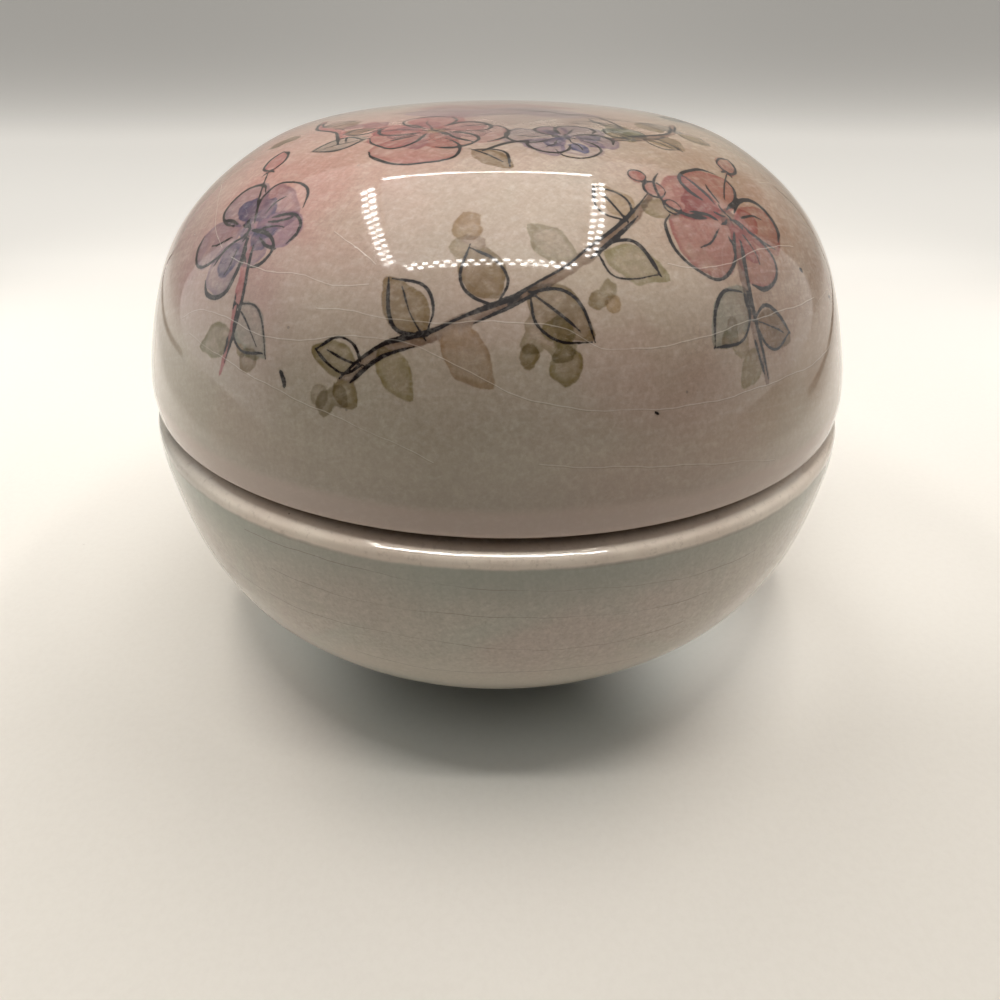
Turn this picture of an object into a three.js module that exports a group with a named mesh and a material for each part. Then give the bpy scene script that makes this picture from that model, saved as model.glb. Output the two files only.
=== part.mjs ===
// Lidded bowl: a round glazed ceramic bowl with a deep domed lid.
// Two fired pieces, each one closed solid of revolution:
//   bowl - foot ring, swelling body, rounded rim shoulder, level seat, upright locating flange
//   lid  - domed cover whose thick lip, bevelled underneath, sits on the seat outside the flange
// Units are millimetres, +Z is up, the origin is the centre of the foot ring on the table.
import * as THREE from 'three';
import { mergeVertices } from 'three/addons/utils/BufferGeometryUtils.js';

// ---- driving dimensions -------------------------------------------------------------
const SEAM_RADIUS = 80.0;      // visible lower edge of the lid; every profile radius scales with it
const SEAM_HEIGHT = 63.2;      // height of the lid's lower edge above the table
const FOOT_OUTER_R = 41.6;     // foot ring, outside radius of the ground face
const FOOT_INNER_R = 36.4;     // foot ring, inside radius of the ground face
const FOOT_RECESS = 2.4;       // depth of the hollow inside the foot ring
const FLANGE_OUTER_R = 72.9;   // upright ring that keeps the lid central, with 1.5 mm of play
const FLANGE_INNER_R = 69.7;   // mouth of the bowl
const FLANGE_TOP = 4.9;        // above the seam
const LIP_INNER_R = 74.4;      // inside wall of the lid at its lip
const LIP_CORNER = [78.85, 0.1, 1.42]; // lower outside corner of the lip: centre r, centre z, radius
const LID_SET_BACK = 0.8;      // the loose lid rests this far towards +Y within its play
const SEAT_Z = -2.6;           // level seat on the bowl, below the seam
const SEAT_GAP = 0.3;          // glaze-thin gap between seat and lip
const RIM_SLOPE = -0.0166;     // the thrown rim is out of level by 0.95 degree, low on the +X side
const SEGMENTS = 64;           // facets around the axis

const K = SEAM_RADIUS / 80.0;

// ---- helpers ------------------------------------------------------------------------
// A smooth run through control points [r, z] (z measured from the seam), cut in n equal steps.
function run(points, n) {
  const curve = new THREE.CatmullRomCurve3(
    points.map(([r, z]) => new THREE.Vector3(r, z, 0)), false, 'centripetal');
  return curve.getSpacedPoints(n).map((p) => [p.x, p.y]);
}

function smooth(a, b, x) {
  const t = Math.min(1, Math.max(0, (x - a) / (b - a)));
  return t * t * (3 - 2 * t);
}

// Share of the rim's slope that reaches a height z above the seam: all of it near the seam,
// none at the foot or on the crown.
function slopeShare(z) {
  return z < 0 ? smooth(-52, -10, z) : 1 - smooth(9, 50, z);
}

function dedupe(profile) {
  return profile.filter((p, i) => i === 0
    || Math.hypot(p[0] - profile[i - 1][0], p[1] - profile[i - 1][1]) > 1e-4);
}

// Turns a closed half profile about Z, sets the rim slope and lifts it to its height.
function turn(profile) {
  const pts = dedupe(profile).map(([r, z]) => new THREE.Vector2(Math.max(0, r) * K, z * K));
  const g = new THREE.LatheGeometry(pts, SEGMENTS);
  g.rotateX(Math.PI / 2);
  const pos = g.attributes.position;
  for (let i = 0; i < pos.count; i++) {
    const x = pos.getX(i);
    const z = pos.getZ(i);
    pos.setZ(i, z + RIM_SLOPE * x * slopeShare(z / K) + SEAM_HEIGHT * K);
  }
  g.deleteAttribute('normal');
  g.deleteAttribute('uv');
  const merged = mergeVertices(g, 1e-5);
  // drop the empty triangles at the poles and point the faces outward
  const index = merged.index.array;
  const p = merged.attributes.position;
  const a = new THREE.Vector3(), b = new THREE.Vector3(), c = new THREE.Vector3();
  const kept = [];
  let volume = 0;
  for (let i = 0; i < index.length; i += 3) {
    const [i0, i1, i2] = [index[i], index[i + 1], index[i + 2]];
    if (i0 === i1 || i1 === i2 || i2 === i0) continue;
    a.fromBufferAttribute(p, i0);
    b.fromBufferAttribute(p, i1);
    c.fromBufferAttribute(p, i2);
    volume += a.dot(b.clone().cross(c)) / 6;
    kept.push(i0, i1, i2);
  }
  if (volume < 0) {
    for (let i = 0; i < kept.length; i += 3) [kept[i + 1], kept[i + 2]] = [kept[i + 2], kept[i + 1]];
  }
  merged.setIndex(kept);
  merged.computeVertexNormals();
  return merged;
}

// ---- bowl ---------------------------------------------------------------------------
const floorZ = -SEAM_HEIGHT;
const bowlOuter = [[42.9, -60.9], [48.6, -59.65], [56.8, -56.1], [62.9, -52.15], [67.55, -48.15], [71.05, -44.15],
  [73.8, -40.1], [75.8, -36], [77.3, -32], [78.5, -28], [79.35, -24], [80.0, -20], [80.5, -16],
  [80.9, -12], [81.08, -9.0], [80.99, -7.2]];
const rimShoulder = [[80.93, -6.0], [80.8, -5.2], [80.42, -4.5], [79.9, -3.95], [79.3, -3.55],
  [78.4, -3.15], [77.4, -2.85], [76.3, SEAT_Z]];
const bowlInner = [[FLANGE_INNER_R, 2.4], [69.95, -0.2], [71.1, -3.6], [72.75, -7.4], [74.1, -11.5],
  [74.2, -16.4], [73.5, -22.5], [72.2, -28.2], [70.2, -33.5], [67.3, -38.6], [63.4, -43.4],
  [58.3, -47.7], [52.4, -51.4], [44.5, -54.6], [34, -56.4], [20, -56.9], [8, -57.0], [0, -57.0]];

const bowlProfile = [
  [0, floorZ + FOOT_RECESS + 0.25],
  [FOOT_INNER_R - 9, floorZ + FOOT_RECESS + 0.1],
  [FOOT_INNER_R - 1.4, floorZ + FOOT_RECESS - 0.5],
  [FOOT_INNER_R - 0.4, floorZ + 0.6],
  [FOOT_INNER_R, floorZ],
  [FOOT_OUTER_R, floorZ],
  [FOOT_OUTER_R + 0.5, floorZ + 0.7],
  [FOOT_OUTER_R + 0.6, floorZ + 1.6],
  ...run(bowlOuter, 15),
  ...run(rimShoulder, 6),
  [FLANGE_OUTER_R + 0.9, SEAT_Z],
  [FLANGE_OUTER_R + 0.25, SEAT_Z + 0.35],
  [FLANGE_OUTER_R, SEAT_Z + 1.2],
  [FLANGE_OUTER_R, FLANGE_TOP - 1.5],
  [FLANGE_OUTER_R - 0.55, FLANGE_TOP - 0.4],
  [FLANGE_OUTER_R - 1.6, FLANGE_TOP],
  [FLANGE_INNER_R + 0.55, FLANGE_TOP - 0.45],
  ...run(bowlInner, 14),
];

// ---- lid ----------------------------------------------------------------------------
const lipZ = SEAT_Z + SEAT_GAP;
const [cornerR, cornerZ, cornerRadius] = LIP_CORNER;
const lipCurve = [[76.1, lipZ], [76.7, lipZ + 0.13]];
for (let i = 0; i <= 4; i++) {                 // from the bevelled underside up into the wall
  const t = (18 + i * 18) * Math.PI / 180;
  lipCurve.push([cornerR + cornerRadius * Math.sin(t), cornerZ - cornerRadius * Math.cos(t)]);
}
const lidOuter = [[80.28, 1.1], [80.3, 3.0], [79.97, 6], [79.05, 10], [77.9, 14], [76.65, 18], [75.2, 22],
  [73.5, 26], [71.35, 30], [68.6, 34], [65.0, 38], [60.4, 42], [54.5, 46], [46.8, 50],
  [38.2, 52.5], [29, 53.85], [20, 54.65], [10, 55.15], [0, 55.3]];
const lidInner = [[0, 49.9], [10, 49.75], [20, 49.2], [30.2, 48.2], [39.6, 46.4], [48.1, 43.2],
  [56.1, 38.2], [62.9, 32.1], [68.0, 24.9], [71.3, 16.6], [73.7, 8.6], [LIP_INNER_R, 2.6]];

const lidProfile = [
  ...run(lidInner, 13),
  [LIP_INNER_R, -1.2],
  [LIP_INNER_R + 0.3, lipZ + 0.35],
  [LIP_INNER_R + 0.9, lipZ],
  ...lipCurve,
  ...run(lidOuter, 19),
];

// ---- materials and assembly ---------------------------------------------------------
const bowlGlaze = new THREE.MeshStandardMaterial({ color: 0xc9c3b4, roughness: 0.12, metalness: 0.0 });
const lidGlaze = new THREE.MeshStandardMaterial({ color: 0xd6c8bd, roughness: 0.1, metalness: 0.0 });

const bowl = new THREE.Mesh(turn(bowlProfile), bowlGlaze);
bowl.name = 'bowl';
const lid = new THREE.Mesh(turn(lidProfile), lidGlaze);
lid.name = 'lid';
lid.position.set(0, LID_SET_BACK * K, 0);

const liddedBowl = new THREE.Group();
liddedBowl.name = 'lidded_bowl';
liddedBowl.add(bowl, lid);

export default liddedBowl;
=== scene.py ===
"""Lidded bowl: the looks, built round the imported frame. Metres, +Z up, -Y is the front."""
import math

import bpy
import numpy as np
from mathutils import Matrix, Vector
from mathutils.geometry import delaunay_2d_cdt


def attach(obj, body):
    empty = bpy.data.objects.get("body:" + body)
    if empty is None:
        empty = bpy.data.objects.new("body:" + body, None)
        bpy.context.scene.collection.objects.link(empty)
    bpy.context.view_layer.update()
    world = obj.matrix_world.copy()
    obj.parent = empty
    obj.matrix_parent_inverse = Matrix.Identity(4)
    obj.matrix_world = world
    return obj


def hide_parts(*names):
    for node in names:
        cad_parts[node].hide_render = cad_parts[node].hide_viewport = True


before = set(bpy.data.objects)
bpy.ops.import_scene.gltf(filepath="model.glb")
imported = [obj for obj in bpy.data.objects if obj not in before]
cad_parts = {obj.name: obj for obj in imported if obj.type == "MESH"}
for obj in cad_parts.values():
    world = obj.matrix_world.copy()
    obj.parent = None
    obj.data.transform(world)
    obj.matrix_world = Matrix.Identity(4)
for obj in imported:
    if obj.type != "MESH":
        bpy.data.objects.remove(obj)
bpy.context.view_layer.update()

MM = 0.001
SEAM_H = 63.2          # mm, height of the lid's lower edge
SET_BACK = 0.8         # mm, the loose lid rests this far to the back, as in the solids
RIM_SLOPE = -0.0166    # the rim is out of level, low on +X, as in the solids
TAU = 2 * math.pi


# ------------------------------------------------------------------ profiles
def second_derivatives(t, y):
    n = len(t)
    h = np.diff(t)
    a = np.zeros((n, n))
    b = np.zeros((n,) + y.shape[1:])
    a[0, 0] = a[-1, -1] = 1.0
    for i in range(1, n - 1):
        a[i, i - 1], a[i, i], a[i, i + 1] = h[i - 1], 2 * (h[i - 1] + h[i]), h[i]
        b[i] = 6 * ((y[i + 1] - y[i]) / h[i] - (y[i] - y[i - 1]) / h[i - 1])
    return np.linalg.solve(a, b)


class Profile:
    """A smooth half section through points (r, z), from the axis back to the axis, by arc length in mm."""

    def __init__(self, pts):
        head = [(-r, z) for r, z in pts[3:0:-1]]
        tail = [(-r, z) for r, z in pts[-2:-5:-1]]
        p = np.array(head + list(pts) + tail, float)
        self.t = np.r_[0, np.cumsum(np.hypot(*np.diff(p, axis=0).T))]
        self.p = p
        self.m = second_derivatives(self.t, p)
        tt = np.linspace(self.t[3], self.t[-4], 24001)
        q = self.point(tt)
        self.T = tt
        self.S = np.r_[0, np.cumsum(np.hypot(*np.diff(q, axis=0).T))]
        self.Q = q
        self.total = float(self.S[-1])

    def point(self, x):
        t, p, m = self.t, self.p, self.m
        i = np.clip(np.searchsorted(t, x) - 1, 0, len(t) - 2)
        h = (t[i + 1] - t[i])
        a = ((t[i + 1] - x) / h)[:, None]
        b = ((x - t[i]) / h)[:, None]
        h = h[:, None]
        return a * p[i] + b * p[i + 1] + ((a ** 3 - a) * m[i] + (b ** 3 - b) * m[i + 1]) * h * h / 6

    def at(self, s):
        s = np.asarray(s, float)
        q = self.point(np.interp(s.ravel(), self.S, self.T))
        return q[:, 0].reshape(s.shape), q[:, 1].reshape(s.shape)

    def normal(self, s):
        """2-D normal, to the left of the direction of travel."""
        r0, z0 = self.at(np.clip(np.asarray(s) - 0.03, 0, self.total))
        r1, z1 = self.at(np.clip(np.asarray(s) + 0.03, 0, self.total))
        dr, dz = r1 - r0, z1 - z0
        n = np.hypot(dr, dz) + 1e-12
        return -dz / n, dr / n

    def where(self, r, z):
        """Arc length of the point nearest (r, z)."""
        return float(self.S[np.argmin((self.Q[:, 0] - r) ** 2 + (self.Q[:, 1] - z) ** 2)])

    def rows(self, s0, s1, hmax, dtheta):
        """Arc lengths from s0 to s1, closer together where the section turns."""
        s = np.linspace(s0, s1, 4000)
        nr, nz = self.normal(s)
        ang = np.unwrap(np.arctan2(nz, nr))
        w = 1 / hmax + np.abs(np.gradient(ang, s)) / dtheta
        c = np.r_[0, np.cumsum((w[1:] + w[:-1]) / 2 * np.diff(s))]
        n = max(2, int(round(c[-1])))
        return np.interp(np.linspace(0, c[-1], n + 1), c, s)


LID = Profile([
    (0, 55.3), (10, 55.15), (20, 54.65), (29, 53.85), (38.2, 52.5), (46.8, 50), (54.5, 46), (60.4, 42),
    (65.0, 38), (68.6, 34), (71.35, 30), (73.5, 26), (75.2, 22), (76.65, 18), (77.9, 14), (79.05, 10),
    (79.9, 6.2), (80.24, 4.0), (80.31, 2.4), (80.29, 1.0), (80.25, 0.0), (80.1, -0.58), (79.76, -0.99),
    (79.3, -1.25), (78.7, -1.45), (77.9, -1.71), (77.1, -1.97), (76.5, -2.17), (75.9, -2.29), (75.4, -2.3),
    (75.0, -2.26), (74.65, -2.0), (74.45, -1.5), (74.4, -0.8), (74.4, 0.6),
    (74.35, 2.8), (73.7, 8.6), (71.3, 16.6), (68.0, 24.9), (62.9, 32.1), (56.1, 38.2), (48.1, 43.2),
    (39.6, 46.4), (30.2, 48.2), (20, 49.2), (10, 49.75), (0, 49.9)])
LID_WALL = LID.where(80.27, 3.4)      # end of the painted outside
LID_SEAT0 = LID.where(76.5, -2.2)     # bare ring under the lip
LID_SEAT1 = LID.where(74.7, -2.05)

BOWL = Profile([
    (0, -60.55), (14, -60.6), (26, -60.75), (32.5, -61.15), (35.2, -61.8), (36.0, -62.5), (36.5, -62.95),
    (37.2, -63.17), (38.1, -63.2), (39.0, -63.2), (40.0, -63.2), (40.9, -63.17), (41.6, -62.95),
    (42.05, -62.5), (42.3, -61.85), (42.75, -61.25), (43.8, -60.85), (45.6, -60.4), (48.6, -59.65),
    (52.9, -58.05), (56.8, -56.1), (62.9, -52.15), (67.55, -48.15), (71.05, -44.15), (73.8, -40.1),
    (75.8, -36), (77.3, -32), (78.5, -28), (79.35, -24), (80.0, -20), (80.5, -16), (80.9, -12),
    (81.06, -9.4), (81.01, -7.4), (80.96, -6.4), (80.91, -5.75), (80.82, -5.2), (80.65, -4.72),
    (80.4, -4.36), (80.05, -4.1), (79.5, -3.8), (78.9, -3.5), (78.2, -3.19), (77.4, -2.9), (76.6, -2.69),
    (75.9, -2.61), (75.2, -2.6),
    (74.9, -2.6), (74.2, -2.56), (73.5, -2.32), (73.06, -1.8), (72.9, -1.0), (72.9, 0.5), (72.9, 2.2),
    (72.82, 3.4), (72.52, 4.2), (72.0, 4.7), (71.3, 4.88), (70.6, 4.73), (70.07, 4.25), (69.77, 3.4),
    (69.7, 2.2), (69.95, -0.2), (71.1, -3.6), (72.75, -7.4), (74.1, -11.5), (74.2, -16.4), (73.5, -22.5),
    (72.2, -28.2), (70.2, -33.5), (67.3, -38.6), (63.4, -43.4), (58.3, -47.7), (52.4, -51.4), (44.5, -54.6),
    (34, -56.4), (20, -56.9), (8, -57.0), (0, -57.0)])
BOWL_FOOT0 = BOWL.where(36.8, -63.1)
BOWL_FOOT1 = BOWL.where(41.3, -63.1)
BOWL_RIDGE = BOWL.where(80.95, -6.2)
BOWL_SEAT0 = BOWL.where(76.6, -2.66)
BOWL_SEAT1 = BOWL.where(74.0, -2.5)
BOWL_MOUTH = BOWL.where(69.7, 2.0)


def smooth(a, b, x):
    t = np.clip((np.asarray(x, float) - a) / (b - a), 0, 1)
    return t * t * (3 - 2 * t)


def slope_share(z):
    return np.where(z < 0, smooth(-52, -10, z), 1 - smooth(9, 50, z))


def surface(prof, s, phi):
    """Points in metres. Carries the rim's slope, a trace of out-of-round and faint throwing rings inside."""
    s, phi = np.broadcast_arrays(np.asarray(s, float), np.asarray(phi, float))
    r, z = prof.at(s)
    if prof is LID:
        inside = smooth(LID_SEAT1 + 9, LID_SEAT1 + 22, s) * (1 - smooth(prof.total - 9, prof.total - 2, s))
        pitch, amp = 6.4, 0.10
    else:
        inside = smooth(BOWL_MOUTH + 12, BOWL_MOUTH + 28, s) * (1 - smooth(prof.total - 8, prof.total - 2, s))
        pitch, amp = 5.6, 0.12
    nr, nz = prof.normal(s)
    wave = amp * inside * (np.sin(TAU * s / pitch + phi) + 0.35 * np.sin(TAU * s / (pitch * 0.37) - 2 * phi + 1.0))
    r = r + nr * wave
    z = z + nz * wave
    r = r * (1 + 0.0011 * np.sin(2 * phi + 0.7) + 0.0006 * np.sin(3 * phi + 2.1) + 0.0003 * np.sin(5 * phi + 0.4))
    x = r * np.cos(phi)
    y = r * np.sin(phi)
    zz = z + RIM_SLOPE * x * slope_share(z) + SEAM_H
    if prof is LID:
        y = y + SET_BACK
    return np.stack([x, y, zz], -1) * MM


def surface_normal(prof, s, phi):
    ds, dp = 0.04, 0.0006
    s = np.asarray(s, float)
    s0, s1 = np.clip(s - ds, 0.004, prof.total - 0.004), np.clip(s + ds, 0.004, prof.total - 0.004)
    a = surface(prof, s1, phi) - surface(prof, s0, phi)
    sm = np.clip(s, 0.5, prof.total - 0.5)
    b = surface(prof, sm, phi + dp) - surface(prof, sm, phi - dp)
    n = np.cross(a, b) if prof is LID else np.cross(b, a)
    return n / (np.linalg.norm(n, axis=-1, keepdims=True) + 1e-20)


# ------------------------------------------------------------------ the painting on the lid
# Loose pen-and-wash sprigs. Every motif is drawn in its own flat patch (x to the right, y up, mm) laid on the
# lid at an azimuth and a distance from the crown. Washes and pen lines become distance fields on the mesh.
rng = np.random.default_rng(20240611)

OLIVE = (0.41, 0.36, 0.20)
SAGE = (0.50, 0.47, 0.30)
OCHRE = (0.58, 0.43, 0.26)
INDIGO = (0.17, 0.20, 0.48)
LILAC = (0.50, 0.46, 0.68)
TEAL = (0.42, 0.56, 0.56)
CORAL = (0.64, 0.22, 0.22)
ROSE = (0.72, 0.38, 0.40)
MAUVE = (0.58, 0.42, 0.52)
UMBER = (0.40, 0.29, 0.24)

strokes = []   # (planar points, half widths)
washes = []    # (planar polygon, colour, layer)
hazes_and_shading = []     # (planar centre, radius, stretch, angle, colour, strength)


class Patch:
    def __init__(self, azimuth, down, turn=0.0, scale=1.0):
        a = math.radians(azimuth)
        self.er = np.array([math.cos(a), math.sin(a)])
        self.et = np.array([-math.sin(a), math.cos(a)])
        r, _ = LID.at(np.array([down]))
        self.o = self.er * down
        self.k = down / float(r[0])
        c, s = math.cos(math.radians(turn)), math.sin(math.radians(turn))
        self.rot = np.array([[c, -s], [s, c]]) * scale
        self.scale = scale

    def __call__(self, pts):
        p = np.asarray(pts, float) @ self.rot.T
        return self.o + p[:, :1] * self.k * self.et - p[:, 1:2] * self.er


def catmull(pts, step=0.5, closed=False):
    p = np.asarray(pts, float)
    if closed:
        p = np.vstack([p[-1], p, p[0], p[1]])
    else:
        p = np.vstack([2 * p[0] - p[1], p, 2 * p[-1] - p[-2]])
    out = []
    for i in range(1, len(p) - 2):
        n = max(2, int(np.linalg.norm(p[i + 1] - p[i]) / step))
        t = np.linspace(0, 1, n, endpoint=False)[:, None]
        out.append(0.5 * (2 * p[i] + (p[i + 1] - p[i - 1]) * t
                          + (2 * p[i - 1] - 5 * p[i] + 4 * p[i + 1] - p[i + 2]) * t ** 2
                          + (3 * p[i] - p[i - 1] - 3 * p[i + 1] + p[i + 2]) * t ** 3))
    if not closed:
        out.append(p[-2][None])
    return np.vstack(out)


def wobble(n, amp, knots):
    """A smooth random run of n numbers."""
    k = max(3, int(knots))
    y = rng.normal(0, amp, k)
    x = np.linspace(0, k - 1, n)
    i = np.clip(x.astype(int), 0, k - 2)
    t = x - i
    t = t * t * (3 - 2 * t)
    return y[i] * (1 - t) + y[i + 1] * t


def pen(patch, pts, width=0.42, shake=0.16, press=0.25, ends=(0.45, 0.3), closed=False):
    """One pen line with a shaky hand, uneven pressure and lighter ends."""
    c = catmull(pts, 0.45, closed)
    if len(c) < 4:
        return
    n = len(c)
    length = n * 0.45
    c = c + np.stack([wobble(n, shake, length / 5), wobble(n, shake, length / 5)], 1)
    u = np.linspace(0, 1, n)
    w = width * (1 + wobble(n, press, length / 6))
    w = w * (ends[0] + (1 - ends[0]) * smooth(0, 0.12, u)) * (ends[1] + (1 - ends[1]) * smooth(0, 0.16, 1 - u))
    strokes.append((patch(c), np.clip(w * 0.80, 0.12, 0.50)))


def wash(patch, pts, colour, layer=0, ragged=0.35, dense=1.0):
    c = catmull(pts, 0.8, True)
    n = len(c)
    mid = c.mean(0)
    d = c - mid
    c = mid + d * (1 + wobble_ring(n, ragged / (np.linalg.norm(d, axis=1).mean() + 1e-6), 9))[:, None]
    v = np.clip(np.array(colour) * (1 + rng.normal(0, 0.05, 3)), 0.05, 0.95)
    washes.append((patch(c), v, layer, dense * float(np.clip(rng.normal(0.9, 0.12), 0.55, 1.1))))


def wobble_ring(n, amp, knots):
    k = np.arange(1, knots)
    a = rng.normal(0, 1, knots - 1) / k ** 0.8
    f = rng.uniform(0, TAU, knots - 1)
    t = np.linspace(0, TAU, n, endpoint=False)
    y = (a[:, None] * np.sin(k[:, None] * t + f[:, None])).sum(0)
    return amp * y / (np.abs(y).max() + 1e-9)


def turned(pts, at, angle):
    c, s = math.cos(math.radians(angle)), math.sin(math.radians(angle))
    return np.asarray(pts, float) @ np.array([[c, s], [-s, c]]) + np.array(at)


def leaf(patch, at, angle, size, colour, layer=0, ink=0.34, fat=0.36, outline=True):
    """A leaf from its base at `at`, pointing along `angle`."""
    w = size * fat
    body = [(0, 0), (0.25 * size, 0.72 * w), (0.55 * size, 0.8 * w), (0.85 * size, 0.35 * w), (size, 0),
            (0.8 * size, -0.45 * w), (0.5 * size, -0.85 * w), (0.2 * size, -0.6 * w)]
    off = rng.normal(0, 0.45, 2)
    wash(patch, turned(np.array(body) * (1.02, 1.0) + off, at, angle), colour, layer)
    if not outline:
        return
    bend = rng.normal(0, 0.06) * size
    up = [(0, 0), (0.28 * size, 0.75 * w), (0.6 * size, 0.78 * w + bend), (1.02 * size, 0.02 * w)]
    lo = [(0.04 * size, -0.1 * w), (0.3 * size, -0.8 * w), (0.65 * size, -0.75 * w + bend), (0.98 * size, 0.0)]
    pen(patch, turned(up, at, angle), ink)
    if rng.random() < 0.8:
        pen(patch, turned(lo, at, angle), ink * 0.9)
    if rng.random() < 0.7:
        pen(patch, turned([(-0.05 * size, 0), (0.35 * size, 0.06 * w), (0.78 * size, bend)], at, angle), ink * 0.7)


def blot(patch, at, r, colour, layer=0, tall=1.0, angle=0):
    t = np.linspace(0, TAU, 9, endpoint=False)
    q = np.stack([np.cos(t) * r, np.sin(t) * r * tall], 1) * (1 + rng.normal(0, 0.09, 9))[:, None]
    wash(patch, turned(q, at, angle), colour, layer, ragged=0.22 * r)


def flower(patch, at, r, colour, heart, petals=5, start=0, ink=0.4, layer=0, deep=None):
    """Loose open petals round a small heart; each petal's line misses its wash a little."""
    for i in range(petals):
        a = start + i * 360 / petals + rng.normal(0, 7)
        k = r * float(np.clip(rng.normal(1, 0.13), 0.72, 1.25))
        f = float(np.clip(rng.normal(1, 0.14), 0.75, 1.3))
        body = [(0.12 * k, 0), (0.45 * k, 0.34 * k * f), (0.82 * k, 0.4 * k * f), (1.02 * k, 0.14 * k), (1.0 * k, -0.16 * k),
                (0.8 * k, -0.4 * k * f), (0.42 * k, -0.32 * k * f)]
        wash(patch, turned(np.array(body) * 1.03 + rng.normal(0, 0.6, 2), at, a), colour, (layer + i) % 2, ragged=0.5)
        if deep is not None and rng.random() < 0.8:
            q = [(0.2 * k, 0.05 * k), (0.5 * k, 0.2 * k), (0.72 * k, 0.12 * k), (0.62 * k, -0.14 * k), (0.35 * k, -0.16 * k)]
            wash(patch, turned(np.array(q) + rng.normal(0, 0.05, 2) * k, at, a), deep, (layer + i + 1) % 2, ragged=0.5)
        loop = catmull([(0.1 * k, 0.05 * k), (0.42 * k, 0.36 * k * f), (0.8 * k, 0.42 * k * f), (1.0 * k, 0.2 * k), (1.04 * k, -0.1 * k),
                        (0.82 * k, -0.38 * k * f), (0.45 * k, -0.3 * k * f), (0.16 * k, -0.06 * k)], 0.8)
        n = len(loop)
        lo, hi = int(n * rng.uniform(0.0, 0.16)), int(n * rng.uniform(0.62, 0.86))
        pen(patch, turned(loop[lo:hi:3], at, a), ink * rng.uniform(0.85, 1.25), shake=0.22)
        if rng.random() < 0.8:
            lo = hi + int(n * rng.uniform(0.02, 0.1))
            if n - lo > 6:
                pen(patch, turned(loop[lo::3], at, a), ink * rng.uniform(0.6, 0.9), shake=0.2)
        if rng.random() < 0.75:
            pen(patch, turned([(0.3 * k, 0.04 * k), (0.55 * k, 0.1 * k), (0.72 * k, 0.08 * k)], at, a), ink * 0.55)
    blot(patch, at, 0.17 * r, heart, 1)
    for i in range(6):
        a = rng.uniform(0, 360)
        pen(patch, turned([(0.06 * r, 0), (0.14 * r, 0.02 * r), (0.24 * r, 0)], at, a), ink * 0.7, shake=0.05)


def limb(patch, pts, width=0.5, gap=1.6, tint=UMBER, layer=0):
    """A twig: a streak of colour with one long pen line and a broken one beside it."""
    p = catmull(pts, 1.0)
    d = np.gradient(p, axis=0)
    n = np.stack([-d[:, 1], d[:, 0]], 1) / (np.linalg.norm(d, axis=1)[:, None] + 1e-9)
    u = np.linspace(0, 1, len(p))
    half = (gap / 2 * (1.1 - 0.6 * u) + wobble(len(p), 0.12, 7))[:, None]
    wash(patch, np.vstack([p + n * half, (p - n * half * 1.2)[::-1]])[::2], tint, layer, ragged=0.3)
    pen(patch, (p + n * half)[::4], width, shake=0.18, press=0.35)
    for a, b in ((0.02, 0.26), (0.37, 0.6), (0.69, 0.93)):
        seg = (p - n * half)[int(a * len(p)):int(b * len(p))]
        if len(seg) > 5:
            pen(patch, seg[::3], width * 0.75, shake=0.14)


def dabs(patch, at, n, spread, colours, size=2.6, tall=1.35):
    """A cluster of wet brush dabs that run into each other."""
    for i in range(n):
        a, d = rng.uniform(0, 360), spread * math.sqrt(rng.uniform(0.02, 1))
        q = (at[0] + d * math.cos(math.radians(a)), at[1] + d * math.sin(math.radians(a)))
        blot(patch, q, size * rng.uniform(0.6, 1.15), colours[i % len(colours)], i % 2, rng.uniform(0.55, 0.8) * tall, rng.uniform(-50, 50))


def bud(patch, at, angle, size, colour, layer=1, ink=0.36):
    wash(patch, turned([(0, 0), (0.3 * size, 0.3 * size), (0.75 * size, 0.3 * size), (1.05 * size, 0), (0.7 * size, -0.3 * size),
                        (0.25 * size, -0.26 * size)], at, angle), colour, layer)
    pen(patch, turned([(0, 0), (0.32 * size, 0.33 * size), (0.8 * size, 0.28 * size), (1.1 * size, 0)], at, angle), ink)
    pen(patch, turned([(0, -0.05 * size), (0.35 * size, -0.3 * size), (0.85 * size, -0.24 * size), (1.06 * size, -0.02 * size)], at, angle), ink)
    pen(patch, turned([(-0.1 * size, 0.2 * size), (0.1 * size, 0.02), (-0.08 * size, -0.2 * size)], at, angle), ink * 0.9)


def berry(patch, at, r, colour):
    blot(patch, at, r, colour, 1)
    t = np.linspace(0.4, TAU + 0.1, 9)
    pen(patch, np.stack([np.cos(t) * r, np.sin(t) * r], 1) + at, 0.26, shake=0.06)


def stem(patch, pts, width=0.46, shadow=None):
    if shadow is not None:
        p = catmull(pts, 1.2)
        d = np.gradient(p, axis=0)
        n = np.stack([-d[:, 1], d[:, 0]], 1) / (np.linalg.norm(d, axis=1)[:, None] + 1e-9)
        w = 0.9 + wobble(len(p), 0.25, 6)[:, None]
        poly = np.vstack([p + n * w * 0.9, (p - n * w * 0.7)[::-1]])
        wash(patch, poly[::3], shadow, 0, ragged=0.2, dense=0.8)
    pen(patch, pts, width, shake=0.22, press=0.35)


def dot(patch, at, r=0.55, tail=0.0):
    pen(patch, [(at[0], at[1]), (at[0] + 0.3 + tail * 0.4, at[1] - 0.2 - tail), (at[0] + 0.5 + tail * 0.5, at[1] - 0.3 - 1.6 * tail),
                (at[0] + 0.6 + tail * 0.5, at[1] - 0.4 - 2 * tail)], r, shake=0.03, ends=(0.8, 0.7))


def grasses(patch, at, n, length, lean=0, ink=0.28, spread=34):
    for i in range(n):
        a = 90 + lean + (i - (n - 1) / 2) * spread / n + rng.normal(0, 4)
        k = length * rng.uniform(0.6, 1.1)
        b = rng.normal(0, 0.12) * k
        pen(patch, turned([(0, 0), (0.35 * k, b), (0.7 * k, 0.6 * b), (k, -b)], at, a), ink, ends=(0.9, 0.25))


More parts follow.
